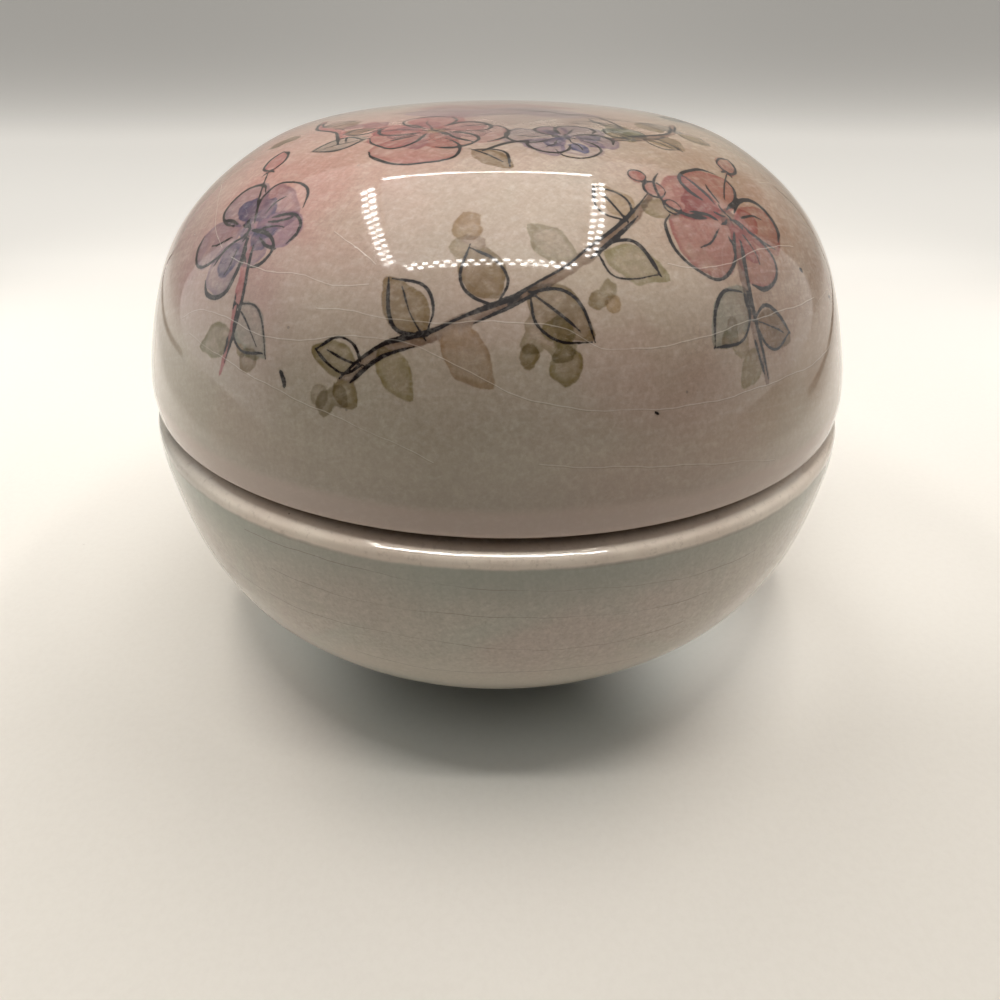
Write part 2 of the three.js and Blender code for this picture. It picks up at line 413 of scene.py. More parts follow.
def paint_front():
    # A long trailing branch across the middle, with soft olive and ochre leaves.
    p = Patch(-92, 71)
    limb(p, [(-24, -13), (-17, -9.5), (-9, -8), (-1, -5), (7, -1), (15, 6), (22, 15), (26, 23)], 0.5, 2.0, UMBER)
    for at, ang, size, col, lay, out in [
            ((-20, -11), 150, 9, OLIVE, 0, True), ((-17, -9), -62, 10, SAGE, 1, False), ((-9, -8), 118, 11.5, OLIVE, 1, True),
            ((-5, -6.5), -48, 12, OCHRE, 0, False), ((2, -3.5), 112, 11, OLIVE, 0, True), ((7, -1), -30, 12.5, OLIVE, 1, True),
            ((14, 5), 140, 9.5, OLIVE, 0, False), ((17, 8), -8, 11, SAGE, 0, True), ((22, 15), 128, 8.5, OCHRE, 1, True),
            ((24, 19), 20, 8, OLIVE, 1, False)]:
        leaf(p, at, ang, size, col, lay, outline=out)
    for at, r in [((26.5, 24.5), 1.9), ((29.5, 21.5), 1.6), ((23.6, 27.0), 1.5)]:
        berry(p, at, r, CORAL)
    dabs(p, (-26, -15), 4, 3.2, (OLIVE, SAGE), 2.5)
    dabs(p, (11, -9), 6, 4.2, (OLIVE, SAGE, OLIVE), 2.7)
    dabs(p, (-2, 8), 4, 3.0, (SAGE, OCHRE), 2.2)
    dabs(p, (19, 1), 3, 2.4, (OLIVE, OCHRE), 2.0)
    # Violet-blue open flower on the left shoulder, with a teal leaf and a falling stem.
    p = Patch(-133, 66)
    limb(p, [(3, -3), (6, -10), (7.5, -18), (6.4, -26)], 0.46, 1.7, ROSE)
    flower(p, (0, 0), 11.5, LILAC, INDIGO, 6, 20, 0.44, deep=INDIGO)
    leaf(p, (6.5, -13), -28, 12, TEAL, 0)
    leaf(p, (7.4, -18), 205, 10, OLIVE, 1, outline=False)
    dabs(p, (12.5, -20), 3, 2.2, (OLIVE, SAGE), 2.0)
    bud(p, (-8.5, 13), 118, 7, ROSE)
    pen(p, [(-3, 5), (-6, 9), (-8.6, 13)], 0.34)
    # Coral flower on the right, its stem running down and back.
    p = Patch(-49, 63)
    limb(p, [(-2, -4), (-5, -11), (-6.5, -19), (-5.5, -29)], 0.5, 2.0, UMBER)
    flower(p, (0, 0), 12.5, CORAL, UMBER, 5, 60, 0.46, deep=CORAL)
    leaf(p, (-5.5, -13), 205, 13, TEAL, 1)
    leaf(p, (-6.4, -18), -22, 11, OLIVE, 0)
    leaf(p, (-6, -23), 214, 8.5, SAGE, 0, outline=False)
    dabs(p, (-13, -19), 4, 2.8, (OLIVE, SAGE), 2.2)
    bud(p, (10, 10), 40, 6.5, ROSE)
    pen(p, [(3, 4), (6, 7), (10, 10)], 0.32)
    # Crown: two open blossoms with long loose grasses between them.
    p = Patch(-112, 31)
    flower(p, (0, 0), 12, ROSE, OCHRE, 7, 12, 0.4, deep=MAUVE)
    leaf(p, (-11, -6), 205, 10, TEAL, 0, 0.3)
    leaf(p, (11, -8), -24, 9, OLIVE, 1, 0.3)
    dabs(p, (-16, 3), 4, 3.0, (ROSE, MAUVE), 2.8)
    p = Patch(-72, 33)
    flower(p, (1, -2), 9, LILAC, INDIGO, 6, 40, 0.36, deep=INDIGO)
    stem(p, [(-15, -5), (-10, -3), (-5, -3)], 0.4)
    grasses(p, (15, 4), 5, 10, 38, 0.26, 70)
    dabs(p, (14, 2), 4, 3.4, (TEAL, SAGE), 2.4)
    p = Patch(-40, 38)
    limb(p, [(-12, 2), (-4, -1), (5, -1), (14, 4)], 0.4, 1.6, UMBER)
    for x, a in [(-8, 78), (-3, 112), (3, 70), (8, 104)]:
        leaf(p, (x, -0.5), a, 7.5, TEAL if a > 90 else OLIVE, 0, 0.28, 0.36, outline=x != 3)
    for x, a in [(-5, -70), (1, -112), (7, -66)]:
        leaf(p, (x, -1), a, 7, SAGE, 1, 0.26, 0.34, outline=x != 1)
    p = Patch(-150, 38)
    limb(p, [(12, -2), (4, 1), (-5, 0), (-13, 4)], 0.4, 1.6, ROSE)
    for x, a in [(7, 70), (1, 108), (-5, 74)]:
        leaf(p, (x, 0.5), a, 7, OLIVE, 0, 0.28, 0.36, outline=x != 1)
    dabs(p, (-6, -6), 5, 3.6, (SAGE, OLIVE), 2.2)
    p = Patch(-90, 10)
    for k in range(7):
        x = -21 + 6.4 * k + rng.normal(0, 1.5)
        y = rng.normal(0, 3.0)
        pen(p, [(x, y), (x + 5, y + rng.normal(0.6, 0.8)), (x + 10, y + rng.normal(0, 0.9)), (x + 14, y + rng.normal(0, 1))], 0.3)
    wash(p, [(-20, 1), (-12, 5), (-4, 2), (5, 5.5), (13, 2), (19, -3), (10, -6.5), (3, -3.5), (-7, -8), (-16, -4)], LILAC, 1, 0.9, 0.62)
    wash(p, [(-18, 7), (-11, 12), (-4, 8.5), (5, 13), (13, 9), (17, 5.5), (8, 6.5), (-1, 3), (-10, 5.5)], ROSE, 0, 0.9, 0.62)
    # Stray touches of the pen.
    dot(Patch(-118, 88), (0, 0), 0.5, 1.0)
    dot(Patch(-38, 76), (0, 0), 0.55)
    dot(Patch(-71, 92), (0, 0), 0.28)
    dot(Patch(-29, 84), (0, 0), 0.3)


def sprig(az, down, turn, kind, size=1.0):
    p = Patch(az, down, turn, size)
    if kind == 0:
        limb(p, [(-3, -22), (-1, -12), (1, -2), (0, 8), (3, 18)], 0.46, 1.9, UMBER)
        cols = [OLIVE, SAGE, OCHRE]
        for i, y in enumerate((-17, -11, -5, 1, 7, 12)):
            side = 1 if i % 2 else -1
            leaf(p, (0.3, y), 90 - side * rng.uniform(42, 62), 10.5 - i * 0.6, cols[i % 3], i % 2, outline=i % 3 != 1)
        for at in ((3.5, 20), (6, 17.5), (0.5, 22)):
            berry(p, at, 1.6, CORAL)
        dabs(p, (9, -8), 4, 3.0, (OLIVE, SAGE), 2.3)
    elif kind == 1:
        limb(p, [(1, -26), (3, -16), (2, -8), (0, -3)], 0.44, 1.7, ROSE)
        flower(p, (0, 3), 11.5, LILAC, INDIGO, 6, 0, 0.42, deep=INDIGO)
        leaf(p, (2.5, -12), 28, 12, TEAL, 1)
        leaf(p, (2.5, -17), 160, 10.5, OLIVE, 0, outline=False)
        dabs(p, (-8, -16), 4, 2.6, (OLIVE, SAGE), 2.2)
    elif kind == 2:
        limb(p, [(-2, -28), (-4, -18), (-2, -9), (0, -3)], 0.48, 1.9, UMBER)
        flower(p, (0, 2), 12, CORAL, UMBER, 5, 30, 0.44, deep=CORAL)
        leaf(p, (-3.5, -15), 35, 12, OLIVE, 0)
        leaf(p, (-3.6, -20), 150, 10, TEAL, 1)
        dabs(p, (7, -17), 4, 2.8, (OLIVE, SAGE), 2.2)
        bud(p, (9, 13), 50, 6.5, ROSE)
        pen(p, [(2, 6), (5, 10), (9, 13)], 0.32)
    elif kind == 3:
        grasses(p, (0, -18), 6, 30, 0, 0.32, 60)
        dabs(p, (-8, -6), 4, 3.0, (OLIVE, SAGE), 2.6)
        dabs(p, (7, 0), 4, 3.0, (SAGE, TEAL, OLIVE), 2.5)
        bud(p, (0, 12), 95, 7, ROSE)
        bud(p, (-9, 8), 118, 5.5, MAUVE)
    else:
        limb(p, [(-16, -3), (-7, 0), (3, -1), (14, 4)], 0.36, 1.5, UMBER)
        for i, x in enumerate((-12, -6, 0, 6, 11)):
            leaf(p, (x, -0.5), (75, 115)[i % 2] + rng.normal(0, 6), 8, (TEAL, OLIVE, SAGE)[i % 3], i % 2, 0.3, outline=i != 2)
        dabs(p, (4, -7), 4, 3.2, (SAGE, OLIVE), 2.0)


def paint_back():
    for az, down, turn, kind, size in [
            (4, 70, -6, 3, 0.95), (40, 68, 8, 1, 1.0), (80, 71, -10, 0, 1.0), (118, 66, 5, 2, 1.0), (158, 70, 8, 0, 0.92),
            (12, 39, 0, 4, 0.85), (58, 34, 6, 4, 0.85), (104, 36, 10, 4, 0.9), (152, 38, -8, 4, 0.85), (60, 88, 4, 3, 0.55),
            (-172, 88, 0, 3, 0.5), (-12, 92, 0, 3, 0.45)]:
        sprig(az, down, turn, kind, size)
    for az, down in ((30, 90), (100, 92), (140, 86), (175, 78), (66, 52)):
        dot(Patch(az, down), (0, 0), 0.45, rng.uniform(0, 1))


def paint_haze_and_shading():
    """Wide, wet washes of thin colour behind the drawing. Several, mostly the brown ones on the right-hand side of the
    wall, are painted shade, and the one whose colour goes above 1 is painted light.
    """
    for az, down, rad, st, ang, col, k in [
            (-142, 56, 22, 1.7, 80, (0.93, 0.62, 0.63), 0.85), (-146, 74, 8, 2.0, 60, (0.72, 0.46, 0.62), 0.7),
            (-128, 72, 11, 1.5, 35, (0.76, 0.54, 0.62), 0.6), (-116, 30, 20, 1.6, 0, (0.90, 0.64, 0.63), 0.8),
            (-72, 22, 17, 1.8, 0, (0.66, 0.62, 0.74), 0.75), (-90, 8, 22, 1.3, 0, (0.66, 0.60, 0.62), 0.85), (-39, 84, 12, 1.5, 90, (0.80, 0.69, 0.60), 1.0), (-112, 82, 22, 1.6, 90, (0.93, 1.04, 1.02), 1.0), (-66, 96, 15, 1.6, 90, (1.0, 0.97, 0.94), 0.8),
            (-38, 66, 24, 1.5, 70, (0.80, 0.62, 0.55), 0.85), (-53, 84, 8, 2.4, 90, (0.62, 0.50, 0.45), 0.65),
            (-44, 38, 16, 1.5, 10, (0.80, 0.64, 0.54), 0.75), (-82, 46, 17, 1.8, 0, (0.95, 0.93, 0.85), 0.6),
            (-98, 86, 12, 2.0, 0, (0.84, 0.79, 0.75), 0.5), (-20, 64, 24, 1.5, 90, (0.66, 0.53, 0.43), 0.92),
            (28, 62, 20, 1.6, 90, (0.86, 0.62, 0.62), 0.65),
            (62, 40, 18, 1.4, 0, (0.78, 0.72, 0.80), 0.55), (98, 72, 22, 1.6, 60, (0.86, 0.70, 0.60), 0.6),
            (138, 54, 20, 1.5, 90, (0.80, 0.64, 0.70), 0.65), (172, 74, 18, 1.6, 90, (0.85, 0.66, 0.64), 0.6),
            (-168, 44, 16, 1.5, 0, (0.80, 0.74, 0.70), 0.5)]:
        a = math.radians(az)
        hazes_and_shading.append((np.array([math.cos(a), math.sin(a)]) * down, rad, st, math.radians(az + ang), col, k))


# ------------------------------------------------------------------ hairline crazing
# (azimuth in degrees, distance in mm): from the crown on the lid, and height from the seam on the bowl.
LID_CRACKS = [
    [[(-141, 86), (-137, 83.2), (-131, 81.9), (-126, 82.5), (-119, 83), (-111, 81), (-105, 80.2), (-98.6, 81.6), (-95, 83.5),
      (-90, 86.7), (-83, 89.7), (-74, 91.2), (-63, 92), (-49, 92), (-39, 92.5), (-28, 91)],
     [(-8, 84), (8, 88), (24, 87), (41, 90), (60, 88), (77, 91), (96, 89), (112, 91), (131, 88), (150, 90)]],
    [[(-115, 76.9), (-109, 76.6), (-101, 77.3), (-96, 77.1), (-90, 76.8), (-83, 77.7), (-80, 79.2), (-78.3, 80.7), (-74, 81.9),
      (-66, 81.9), (-61.5, 81.5), (-55, 80.9), (-48, 81), (-36, 81.9)],
     [(14, 78), (30, 76), (48, 79), (66, 76), (82, 74), (99, 77)], [(125, 79), (143, 75), (160, 77), (176, 74)]],
    [[(-134, 71.7), (-125, 72.4), (-116.5, 72.1), (-112.4, 72.8), (-106, 71.4)],
     [(-66, 69), (-58, 71), (-47, 70), (-36, 72)], [(40, 66), (56, 69), (71, 66), (88, 68)], [(150, 64), (166, 67), (179, 66)]],
    [[(-138, 87.6), (-129, 88.8), (-121.5, 90.4), (-112.4, 92.7), (-104, 95.5), (-97, 99)],
     [(-85.5, 98.8), (-78.5, 99.7), (-71, 100.8), (-65, 102), (-56, 104.4), (-51, 106.2)],
     [(-20, 96), (0, 99), (22, 97), (44, 100), (70, 98)], [(92, 101), (120, 98), (147, 100), (172, 97)]],
    [[(-117, 62.7), (-111.6, 65.6), (-107, 68.6)], [(-165, 60), (-152, 63), (-143, 68), (-137, 71)],
     [(-30, 58), (-17, 63), (-6, 70), (4, 76)], [(96, 58), (110, 61), (121, 66)]],
]
BOWL_CRACKS = [
    [[(-126, -8.6), (-115.6, -8.4), (-107, -8.7), (-100, -9.4), (-94, -9.9), (-85, -10.6), (-76.5, -11.3), (-66, -12.9), (-52, -13.4)],
     [(-30, -11), (-8, -13), (18, -12), (40, -14), (64, -12)], [(90, -10), (120, -12.5), (150, -11), (176, -13)]],
    [[(-122, -15.6), (-108, -16.6), (-96, -16.5), (-87, -17), (-80, -17.6), (-71.6, -18.9), (-60, -19.4)],
     [(-44, -20), (-20, -18), (6, -21), (34, -19)], [(58, -20), (86, -17.5), (114, -21), (142, -19), (170, -21)]],
    [[(-134, -23), (-118, -24.5), (-102, -24), (-90, -25.6), (-74, -26.8), (-62, -26)],
     [(-36, -27), (-8, -30), (20, -27), (50, -29)], [(84, -28), (112, -31), (146, -28)]],
    [[(-112, -33), (-98, -34.5), (-84, -34), (-68, -36)], [(-24, -38), (4, -36), (30, -39)], [(70, -37), (100, -40), (132, -37)]],
]


def crack_field(phi_deg, level, runs):
    """Signed distance in mm from a set of long wandering lines, each a height over a range of azimuth."""
    out = np.full(phi_deg.shape, 9.0)
    for n, run in enumerate(runs):
        a = np.array(run, float)
        x = np.linspace(a[0, 0], a[-1, 0], 200)
        m = second_derivatives(a[:, 0], a[:, 1:])
        i = np.clip(np.searchsorted(a[:, 0], x) - 1, 0, len(a) - 2)
        h = a[i + 1, 0] - a[i, 0]
        p, q = (a[i + 1, 0] - x) / h, (x - a[i, 0]) / h
        y = p * a[i, 1] + q * a[i + 1, 1] + ((p ** 3 - p) * m[i, 0] + (q ** 3 - q) * m[i + 1, 0]) * h * h / 6
        y = y + 0.12 * np.sin(x * 0.7 + n) + 0.05 * np.sin(x * 2.1 + 2 * n)
        inside = (phi_deg > a[0, 0]) & (phi_deg < a[-1, 0])
        d = level - np.interp(phi_deg, x, y)
        out = np.where(inside & (np.abs(d) < np.abs(out)), d, out)
    return out


# ------------------------------------------------------------------ distance fields
def to_3d(p2):
    s = np.hypot(p2[:, 0], p2[:, 1])
    return surface(LID, np.clip(s, 0, LID.total), np.arctan2(p2[:, 1], p2[:, 0])) / MM


def stroke_field(pos, plane):
    """Signed distance in mm to the nearest pen line, negative inside the ink."""
    out = np.full(len(pos), 6.0)
    for pts, w in strokes:
        lo, hi = pts.min(0) - 5, pts.max(0) + 5
        near = np.where(((plane > lo) & (plane < hi)).all(1))[0]
        if not len(near):
            continue
        c = to_3d(pts)
        a, b = c[:-1], c[1:]
        ab = b - a
        L = (ab ** 2).sum(1) + 1e-12
        for k in range(0, len(near), 4000):
            idx = near[k:k + 4000]
            p = pos[idx]
            t = np.clip(((p[:, None] - a) * ab).sum(2) / L, 0, 1)
            d = np.linalg.norm(p[:, None] - (a + t[..., None] * ab), axis=2) - (w[:-1] + (w[1:] - w[:-1]) * t)
            out[idx] = np.minimum(out[idx], d.min(1))
    return out


def polygon_distance(p, poly):
    a, b = poly, np.roll(poly, -1, axis=0)
    ab = b - a
    L = (ab ** 2).sum(1) + 1e-12
    t = np.clip(((p[:, None] - a) * ab).sum(2) / L, 0, 1)
    d = np.sqrt((((p[:, None] - (a + t[..., None] * ab)) ** 2).sum(2)).min(1))
    x, y = p[:, :1], p[:, 1:]
    cross = ((a[:, 1] > y) != (b[:, 1] > y)) & (x < (b[:, 0] - a[:, 0]) * (y - a[:, 1]) / (b[:, 1] - a[:, 1] + 1e-12) + a[:, 0])
    return np.where(cross.sum(1) % 2 == 1, -d, d)


def wash_field(plane, layer):
    out = np.full(len(plane), 6.0)
    col = np.ones((len(plane), 4))
    for poly, colour, lay, dense in washes:
        if lay != layer:
            continue
        lo, hi = poly.min(0) - 5, poly.max(0) + 5
        near = np.where(((plane > lo) & (plane < hi)).all(1))[0]
        if not len(near):
            continue
        d = polygon_distance(plane[near], poly)
        better = d < out[near]
        idx = near[better]
        out[idx] = d[better]
        col[idx, :3] = colour
        col[idx, 3] = dense
    return out, col


def haze_and_shading_field(plane):
    col = np.ones((len(plane), 3))
    for c, rad, st, ang, colour, k in hazes_and_shading:
        d = plane - c
        ca, sa = math.cos(ang), math.sin(ang)
        x, y = d[:, 0] * ca + d[:, 1] * sa, -d[:, 0] * sa + d[:, 1] * ca
        g = k * np.exp(-0.5 * ((x / (rad * st / 1.3)) ** 2 + (y / (rad / 1.3)) ** 2))[:, None]
        col *= 1 - g * (1 - np.array(colour))
    return col


# ------------------------------------------------------------------ meshes
def thin_out(groups):
    """Points from each (points, reach) group in turn, leaving out any nearer than reach to one already kept."""
    cell = 0.5
    kept, table = [], {}
    for pts, reach in groups:
        r2 = reach * reach
        n = int(math.ceil(reach / cell))
        for x, y in pts:
            i, j = int(math.floor(x / cell)), int(math.floor(y / cell))
            ok = True
            for di in range(-n, n + 1):
                for dj in range(-n, n + 1):
                    for qx, qy in table.get((i + di, j + dj), ()):
                        if (qx - x) ** 2 + (qy - y) ** 2 < r2:
                            ok = False
                            break
                    if not ok:
                        break
                if not ok:
                    break
            if ok:
                table.setdefault((i, j), []).append((x, y))
                kept.append((x, y))
    return kept


def offset_rows(pts, offsets, step):
    """Rows of points beside a planar line, keeping true distance on the curved lid."""
    seg = np.linalg.norm(np.diff(pts, axis=0), axis=1)
    c = np.r_[0, np.cumsum(seg)]
    if c[-1] < 1e-6:
        return []
    n = max(2, int(c[-1] / step))
    u = np.linspace(0, c[-1], n + 1)
    p = np.stack([np.interp(u, c, pts[:, 0]), np.interp(u, c, pts[:, 1])], 1)
    d = np.gradient(p, axis=0)
    s = np.hypot(p[:, 0], p[:, 1]) + 1e-9
    r, _ = LID.at(np.clip(s, 0, LID_WALL))
    k = np.clip(r, 0.01, None) / s
    er = p / s[:, None]
    et = np.stack([-er[:, 1], er[:, 0]], 1)
    dr, dt = (d * er).sum(1), (d * et).sum(1) * k
    L = np.hypot(dr, dt) + 1e-12
    nr, nt = -dt / L, dr / L
    out = []
    for o in offsets:
        out.append(p + o * (nr[:, None] * er + (nt / k)[:, None] * et))
    return out


def finish_mesh(name, verts, faces, normals, uvs, attributes):
    me = bpy.data.meshes.new(name)
    nf = len(faces)
    sizes = np.array([len(f) for f in faces], np.int32)
    loops = np.concatenate([np.asarray(f, np.int32) for f in faces])
    me.vertices.add(len(verts))
    me.vertices.foreach_set("co", np.asarray(verts, np.float32).ravel())
    me.loops.add(len(loops))
    me.loops.foreach_set("vertex_index", loops)
    me.polygons.add(nf)
    me.polygons.foreach_set("loop_start", np.r_[0, np.cumsum(sizes)[:-1]].astype(np.int32))
    me.update(calc_edges=True)
    me.polygons.foreach_set("use_smooth", np.ones(nf, bool))
    uv = me.uv_layers.new(name="OFBake")
    uv.data.foreach_set("uv", np.asarray(uvs, np.float32).ravel())
    for key, values in attributes.items():
        values = np.asarray(values, np.float32)
        if values.ndim == 1:
            me.attributes.new(key, "FLOAT", "POINT").data.foreach_set("value", values)
        else:
            if values.shape[1] == 3:
                values = np.c_[values, np.ones(len(values), np.float32)]
            me.attributes.new(key, "FLOAT_COLOR", "POINT").data.foreach_set("color", values.ravel())
    me.validate(clean_customdata=False)
    me.normals_split_custom_set_from_vertices([tuple(n) for n in normals])
    ob = bpy.data.objects.new(name, me)
    bpy.context.scene.collection.objects.link(ob)
    return ob


def build_lid():
    N = 288
    ring = np.arange(N) / N * TAU
    edge = np.stack([np.cos(ring), np.sin(ring)], 1) * LID_WALL
    rows = []
    for pts, w in strokes:
        for k, row in enumerate(offset_rows(pts, (0.0, -0.3, 0.3, -0.62, 0.62), 0.55)):
            rows.append((row, (0.2, 0.22, 0.22, 0.28, 0.28)[k]))
    rows.sort(key=lambda g: g[1])
    blots = []
    for poly, colour, lay, dense in washes:
        for row in offset_rows(np.vstack([poly, poly[:1]]), (-0.35, 0.35), 1.0):
            blots.append((row, 0.55))
    pitch = 1.75
    base = []
    n = int(LID_WALL / pitch) + 2
    for j in range(-n - 8, n + 9):
        y = j * pitch * 0.8660254
        for i in range(-n, n + 1):
            x = (i + 0.5 * (j & 1)) * pitch
            base.append((x, y))
    groups = [(edge, 0.01)] + rows + blots + [(base, 1.05)]
    limit = (LID_WALL - 0.75) ** 2
    groups = [groups[0]] + [([q for q in g if q[0] ** 2 + q[1] ** 2 < limit], reach) for g, reach in groups[1:]]
    pts = thin_out(groups)
    edges = [(i, (i + 1) % N) for i in range(N)]
    out = delaunay_2d_cdt([Vector(p) for p in pts], edges, [], 0, 1e-4)
    verts2, tris = np.array([tuple(v) for v in out[0]]), [tuple(f) for f in out[2]]
    origin = out[3]
    # the ring's vertices, in order
    ring_index = {}
    for new, olds in enumerate(origin):
        for o in olds:
            if o < N:
                ring_index[o] = new
    s2 = np.hypot(verts2[:, 0], verts2[:, 1])
    phi2 = np.arctan2(verts2[:, 1], verts2[:, 0])
    a, b, c = (verts2[[t[k] for t in tris]] for k in range(3))
    area = (b[:, 0] - a[:, 0]) * (c[:, 1] - a[:, 1]) - (b[:, 1] - a[:, 1]) * (c[:, 0] - a[:, 0])
    tris = [t if ar > 0 else (t[0], t[2], t[1]) for t, ar in zip(tris, area) if abs(ar) > 1e-7]
    srow = LID.rows(LID_WALL, LID.total, 2.6, math.radians(9))[1:-1]
    S = np.repeat(srow, N)
    P = np.tile(ring, len(srow))
    s_all = np.r_[s2, S, [LID.total]]
    p_all = np.r_[phi2, P, [0.0]]
    pos = surface(LID, np.clip(s_all, 0, LID.total), p_all)
    nrm = surface_normal(LID, s_all, p_all)
    n2 = len(verts2)
    faces = list(tris)
    prev = [ring_index[i] for i in range(N)]
    for k in range(len(srow)):
        cur = [n2 + k * N + i for i in range(N)]
        for i in range(N):
            j = (i + 1) % N
            faces.append((prev[i], cur[i], cur[j], prev[j]))
        prev = cur
    last = len(pos) - 1
    for i in range(N):
        faces.append((prev[i], last, prev[(i + 1) % N]))
    nrm[last] = (0, 0, -1)
    top = s_all < 1e-3
    nrm[top] = (0, 0, 1)
    # map: outside on one disc, inside on a smaller one
    split = LID_SEAT0
    split = float(srow[np.argmin(np.abs(srow - split))])
    sv = s_all
    dir2 = np.stack([np.cos(p_all), np.sin(p_all)], 1)
    disc1 = np.array([0.372, 0.372]) + dir2 * (0.366 * sv / split)[:, None]
    disc2 = np.array([0.788, 0.788]) + dir2 * np.array([1, -1]) * (0.206 * (LID.total - sv) / (LID.total - split))[:, None]
    uvs = []
    n_tris = len(tris)
    for k, f in enumerate(faces):
        inside = k >= n_tris and max(sv[i] for i in f) > split + 1e-6
        uvs.extend((disc2 if inside else disc1)[list(f)])
    plane = np.stack([s_all * np.cos(p_all), s_all * np.sin(p_all)], 1)
    outer = s_all < LID_WALL + 6
    ink = np.full(len(pos), 6.0)
    ink[outer] = stroke_field(pos[outer] / MM, plane[outer])
    w0, c0 = wash_field(plane, 0)
    w1, c1 = wash_field(plane, 1)
    haze_and_shading = haze_and_shading_field(plane)
    inner = smooth(LID_WALL, LID_WALL + 4, s_all)[:, None]
    haze_and_shading = haze_and_shading * (1 - inner) + inner
    w0[~outer] = w1[~outer] = 6.0
    deg = np.degrees(p_all)
    att = {"ink": ink, "wash_a": w0, "wash_b": w1, "tint_a": c0[:, :3], "tint_b": c1[:, :3],
           "dense_a": c0[:, 3], "dense_b": c1[:, 3], "haze_and_shading": haze_and_shading}
    for i, runs in enumerate(LID_CRACKS):
        v = crack_field(deg, s_all, runs)
        v[s_all > LID_WALL + 3] = 9.0
        att["crack_%d" % i] = v
    mid = (LID_SEAT0 + LID_SEAT1) / 2
    att["bare"] = (LID_SEAT1 - LID_SEAT0) / 2 - np.abs(s_all - mid)
    att["arc"] = s_all
    return finish_mesh("lid_painted", pos, faces, nrm, uvs, att)


def build_bowl():
    N = 320
    ring = np.arange(N) / N * TAU
    srow = BOWL.rows(0, BOWL.total, 2.2, math.radians(8))[1:-1]
    s_all = np.r_[[0.0], np.repeat(srow, N), [BOWL.total]]
    p_all = np.r_[[0.0], np.tile(ring, len(srow)), [0.0]]
    pos = surface(BOWL, s_all, p_all)
    nrm = surface_normal(BOWL, s_all, p_all)
    nrm[0], nrm[-1] = (0, 0, -1), (0, 0, 1)
    faces = []
    first = [1 + i for i in range(N)]
    for i in range(N):
        faces.append((0, first[(i + 1) % N], first[i]))
    for k in range(len(srow) - 1):
        a, b = 1 + k * N, 1 + (k + 1) * N
        for i in range(N):
            j = (i + 1) % N
            faces.append((a + i, a + j, b + j, b + i))
    a, last = 1 + (len(srow) - 1) * N, len(pos) - 1
    for i in range(N):
        faces.append((a + i, a + (i + 1) % N, last))
    split = float(srow[np.argmin(np.abs(srow - BOWL_SEAT1))])
    dir2 = np.stack([np.cos(p_all), np.sin(p_all)], 1)
    disc1 = np.array([0.342, 0.342]) + dir2 * np.array([1, -1]) * (0.336 * s_all / split)[:, None]
    disc2 = np.array([0.757, 0.757]) + dir2 * (0.237 * (BOWL.total - s_all) / (BOWL.total - split))[:, None]
    uvs = []
    for f in faces:
        inside = max(s_all[i] for i in f) > split + 1e-6
        uvs.extend((disc2 if inside else disc1)[list(f)])
    deg = np.degrees(np.arctan2(np.sin(p_all), np.cos(p_all)))
    _, z = BOWL.at(s_all)
    att = {}
    outside = (s_all > BOWL_FOOT1 + 4) & (s_all < BOWL_RIDGE)
    for i, runs in enumerate(BOWL_CRACKS):
        v = crack_field(deg, z, runs)
        v[~outside] = 9.0
        att["crack_%d" % i] = v
    foot = (BOWL_FOOT1 - BOWL_FOOT0) / 2 + 0.35 - np.abs(s_all - (BOWL_FOOT0 + BOWL_FOOT1) / 2)
    seat = (BOWL_SEAT1 - BOWL_SEAT0) / 2 - np.abs(s_all - (BOWL_SEAT0 + BOWL_SEAT1) / 2)
    att["bare"] = np.maximum(foot, seat)
    att["band"] = s_all - BOWL_RIDGE
    att["arc"] = s_all
    return finish_mesh("bowl_glazed", pos, faces, nrm, uvs, att)


